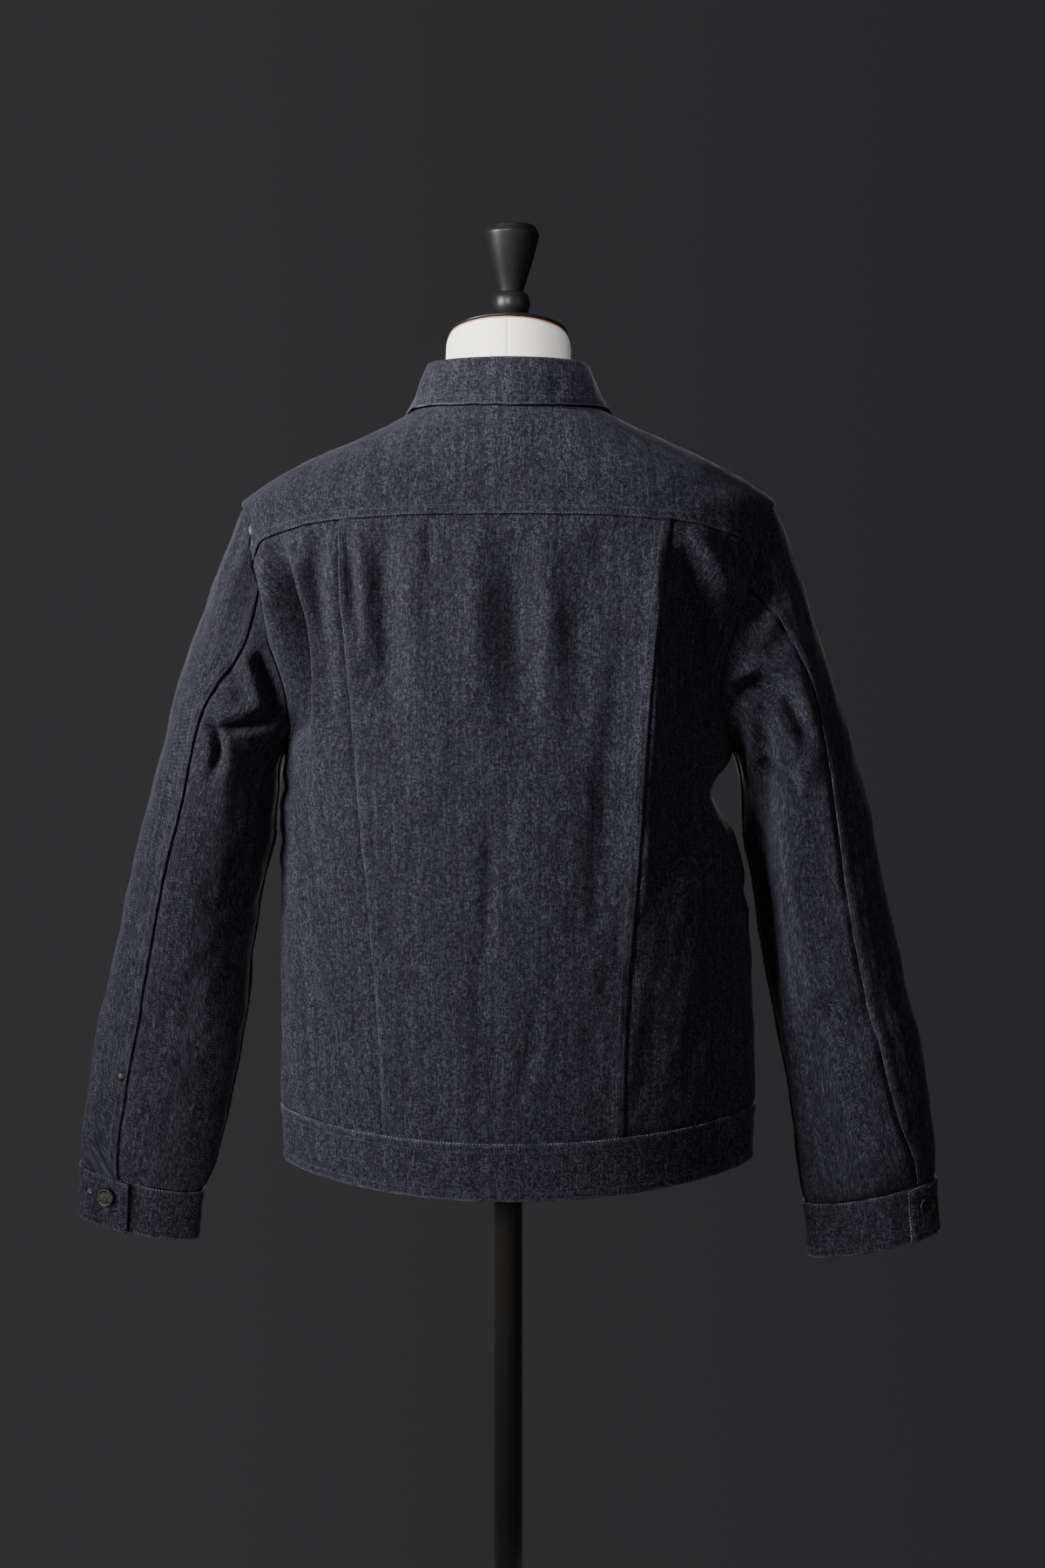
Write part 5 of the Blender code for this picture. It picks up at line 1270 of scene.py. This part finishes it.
# How far the form stays inside the jacket's wall at each height.
FORM_GAPS = table(
    "height side back front",
    (0.8000, .0400, .0240, .0240), (0.9200, .0480, .0300, .0280),
    (1.0200, .0600, .0380, .0340), (1.1200, .0500, .0330, .0220),
    (1.2000, .0370, .0250, .0170), (1.2800, .0230, .0160, .0130),
    (1.3350, .0120, .0070, .0090), (1.3552, .0090, .0040, .0080),
    (1.3750, .0032, .0026, .0075), (1.3900, .0024, .0020, .0075),
    (1.4220, .0012, .0016, .0075), (1.4370, .0022, .0025, .0080),
    (1.4470, .0065, .0055, .0090),
)
NECK_COLUMNS = "height half_width half_depth middle_y tilt"
NECK = table(
    NECK_COLUMNS,
    (1.4560, .0680, .0590, .0010, .12),
    (1.4680, .0605, .0570, .0030, .16),
    (1.4860, .0576, .0560, .0050, .19),
    (1.4990, .0573, .0560, .0055, .21),
    (1.5050, .0566, .0552, .0060, .22),
    (1.5088, .0553, .0540, .0060, .22),
    (1.5108, .0536, .0522, .0060, .22),
)
FORM_MIDDLE_X = -.0010


def form_ring(angle, height):
    """One ring of the torso, a set gap inside the jacket's wall."""
    side, back, front = (through(FORM_GAPS, name, height) for name in ("side", "back", "front"))
    facing = np.where(np.sin(angle) > 0, front, back)
    gap = .0015 + side * np.cos(angle) ** 2 + facing * np.sin(angle) ** 2
    return smooth_body(angle, height) - body_normal(angle, height) * gap[:, None]


def neck_ring(angle, height, raise_by=0.0, widen=0.0):
    """One ring of the neck, higher at the back than at the front."""
    half, deep, middle_y, tilt = (through(NECK, name, height)
                                  for name in NECK_COLUMNS.split()[1:])
    seam = np.degrees(np.abs(np.arctan2(np.cos(angle), -np.sin(angle))))
    sunk = .0005 * np.exp(-(seam / .9) ** 2) * (widen == 0)
    x = FORM_MIDDLE_X + (half + widen - sunk) * np.cos(angle)
    y = middle_y + (deep + widen - sunk) * np.sin(angle)
    return points_of(x, y, height + raise_by - tilt * (y - middle_y))


def tube(name, rings, look):
    """Skin a stack of closed rings, each with its seam point twice, and cap both ends."""
    rings = np.array(rings)
    rows, columns = rings.shape[:2]
    work = bmesh.new()
    made = bmesh.ops.create_grid(work, x_segments=columns - 1, y_segments=rows - 1, size=.5)
    uv = work.loops.layers.uv.new("cloth")
    flat = rings.reshape(-1, 3)
    step = np.linalg.norm(np.diff(rings, axis=1), axis=2)
    u = np.pad(np.cumsum(step, 1), ((0, 0), (1, 0))).reshape(-1)
    numbers = {vertex: number for number, vertex in enumerate(made["verts"])}
    for vertex, number in numbers.items():
        vertex.co = flat[number]
    for face in work.faces:
        for loop in face.loops:
            number = numbers[loop.vert]
            loop[uv].uv = (u[number], flat[number][2])
    bmesh.ops.remove_doubles(work, verts=work.verts, dist=1e-6)
    bmesh.ops.holes_fill(work, edges=[edge for edge in work.edges if edge.is_boundary])
    bmesh.ops.recalc_face_normals(work, faces=work.faces)
    piece = assembled(name, work, look, 60)
    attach(piece, "root")
    return piece


base_angles = np.linspace(pi / 2, 5 * pi / 2, 121)
seam_angles = 3 * pi / 2 + np.radians((-2, -1.2, -.7, -.35, .35, .7, 1.2, 2))
form_angles = np.sort(np.concatenate((base_angles, seam_angles)))
rings = [form_ring(form_angles, height)
         for height in np.linspace(FORM_GAPS[0].height, FORM_GAPS[-1].height, 66)]
rings[0][:, 2] = FORM_GAPS[0].height
rings += [neck_ring(form_angles, height)
          for height in np.linspace(NECK[0].height, NECK[-1].height, 18)]
torso = tube("form_body", rings, linen)
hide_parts("form_torso")

# The cap and a thin tape under its edge: each ring is raised and widened by so much.
satin = new_finish("black_satin", {"Base Color": (.007, .007, .008, 1), "Roughness": .38,
                                   "Specular IOR Level": .2})
tan_tape = new_finish("tan_tape", {"Base Color": (.36, .21, .13, 1), "Roughness": .8})
CAP = ((.0008, .0004), (.0010, .0010), (.0022, .0012), (.0034, .0009), (.0042, -.0002),
       (.0046, -.0018), (.0048, -.0050), (.0048, -.0120))
TAPE = ((-.0016, -.0006), (-.0014, .0004), (-.0006, .0008), (.0004, .0007), (.0007, -.0004))
top_angles = np.linspace(pi / 2, 5 * pi / 2, 97)
cap = tube("form_neck_cap", [neck_ring(top_angles, NECK[-1].height, *ring) for ring in CAP],
           satin)
tube("form_neck_tape", [neck_ring(top_angles, NECK[-1].height, *ring) for ring in TAPE],
     tan_tape)
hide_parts("form_cap")

finial_foot = NECK[-1].height + .0048 + .0050 * NECK[-1].tilt + .0006
FINIAL = ((0, 0), (.0050, 0), (.0050, .0030), (.0072, .0048), (.0090, .0070), (.0118, .0098),
          (.0140, .0125), (.0160, .0158), (.0172, .0190), (.0179, .0222), (.0180, .0255),
          (.0176, .0288), (.0168, .0315), (.0155, .0335), (.0139, .0347), (.0123, .0351),
          (.0119, .0354), (.0124, .0380), (.0167, .0518), (.0216, .0672), (.0254, .0827),
          (.0262, .0868), (.0264, .0880), (.0264, .0887), (.0262, .0893), (.0250, .0917),
          (.0234, .0948), (.0228, .0955), (.0218, .0960), (.0100, .0990), (0, .1000))
finial = turned_piece("form_knob", FINIAL, 72, satin,
                      Matrix.Translation((FORM_MIDDLE_X + .002, NECK[-1].middle_y,
                                          finial_foot)), "form_finial")

# ---------------------------------------------------------------- stand
# A straight pole, 26 mm thick, stands in a round turned foot 330 mm across. Both are
# lacquered black.

lacquer = new_finish("black_lacquer", {"Base Color": (.010, .0095, .009, 1), "Roughness": .16,
                                       "Coat Weight": .4, "Coat Roughness": .08})
pole = turned_piece("stand_post", ((0, 0), (.0130, 0), (.0130, .7857), (0, .7857)), 64,
                    lacquer, Matrix.Translation((FORM_MIDDLE_X, 0, .0143)), "stand_pole")
FOOT = ((0, 0), (.1645, 0), (.1650, .0006), (.1650, .0070), (.1643, .0092), (.1626, .0108),
        (.1600, .0118), (.1540, .0124), (.1000, .0133), (.0495, .0139), (.0300, .0140),
        (0, .0140))
turned_piece("stand_foot", FOOT, 128, lacquer, Matrix(), "stand_base")

# The three lights on the far side leave the black parts alone, so they get no bright rim.
unlit = bpy.data.collections.new("without_far_lights")
for piece in (cap, finial, pole):
    unlit.objects.link(piece)
for entry in unlit.collection_objects:
    entry.light_linking.link_state = "EXCLUDE"
for lamp in far_lights:
    lamp.light_linking.receiver_collection = unlit
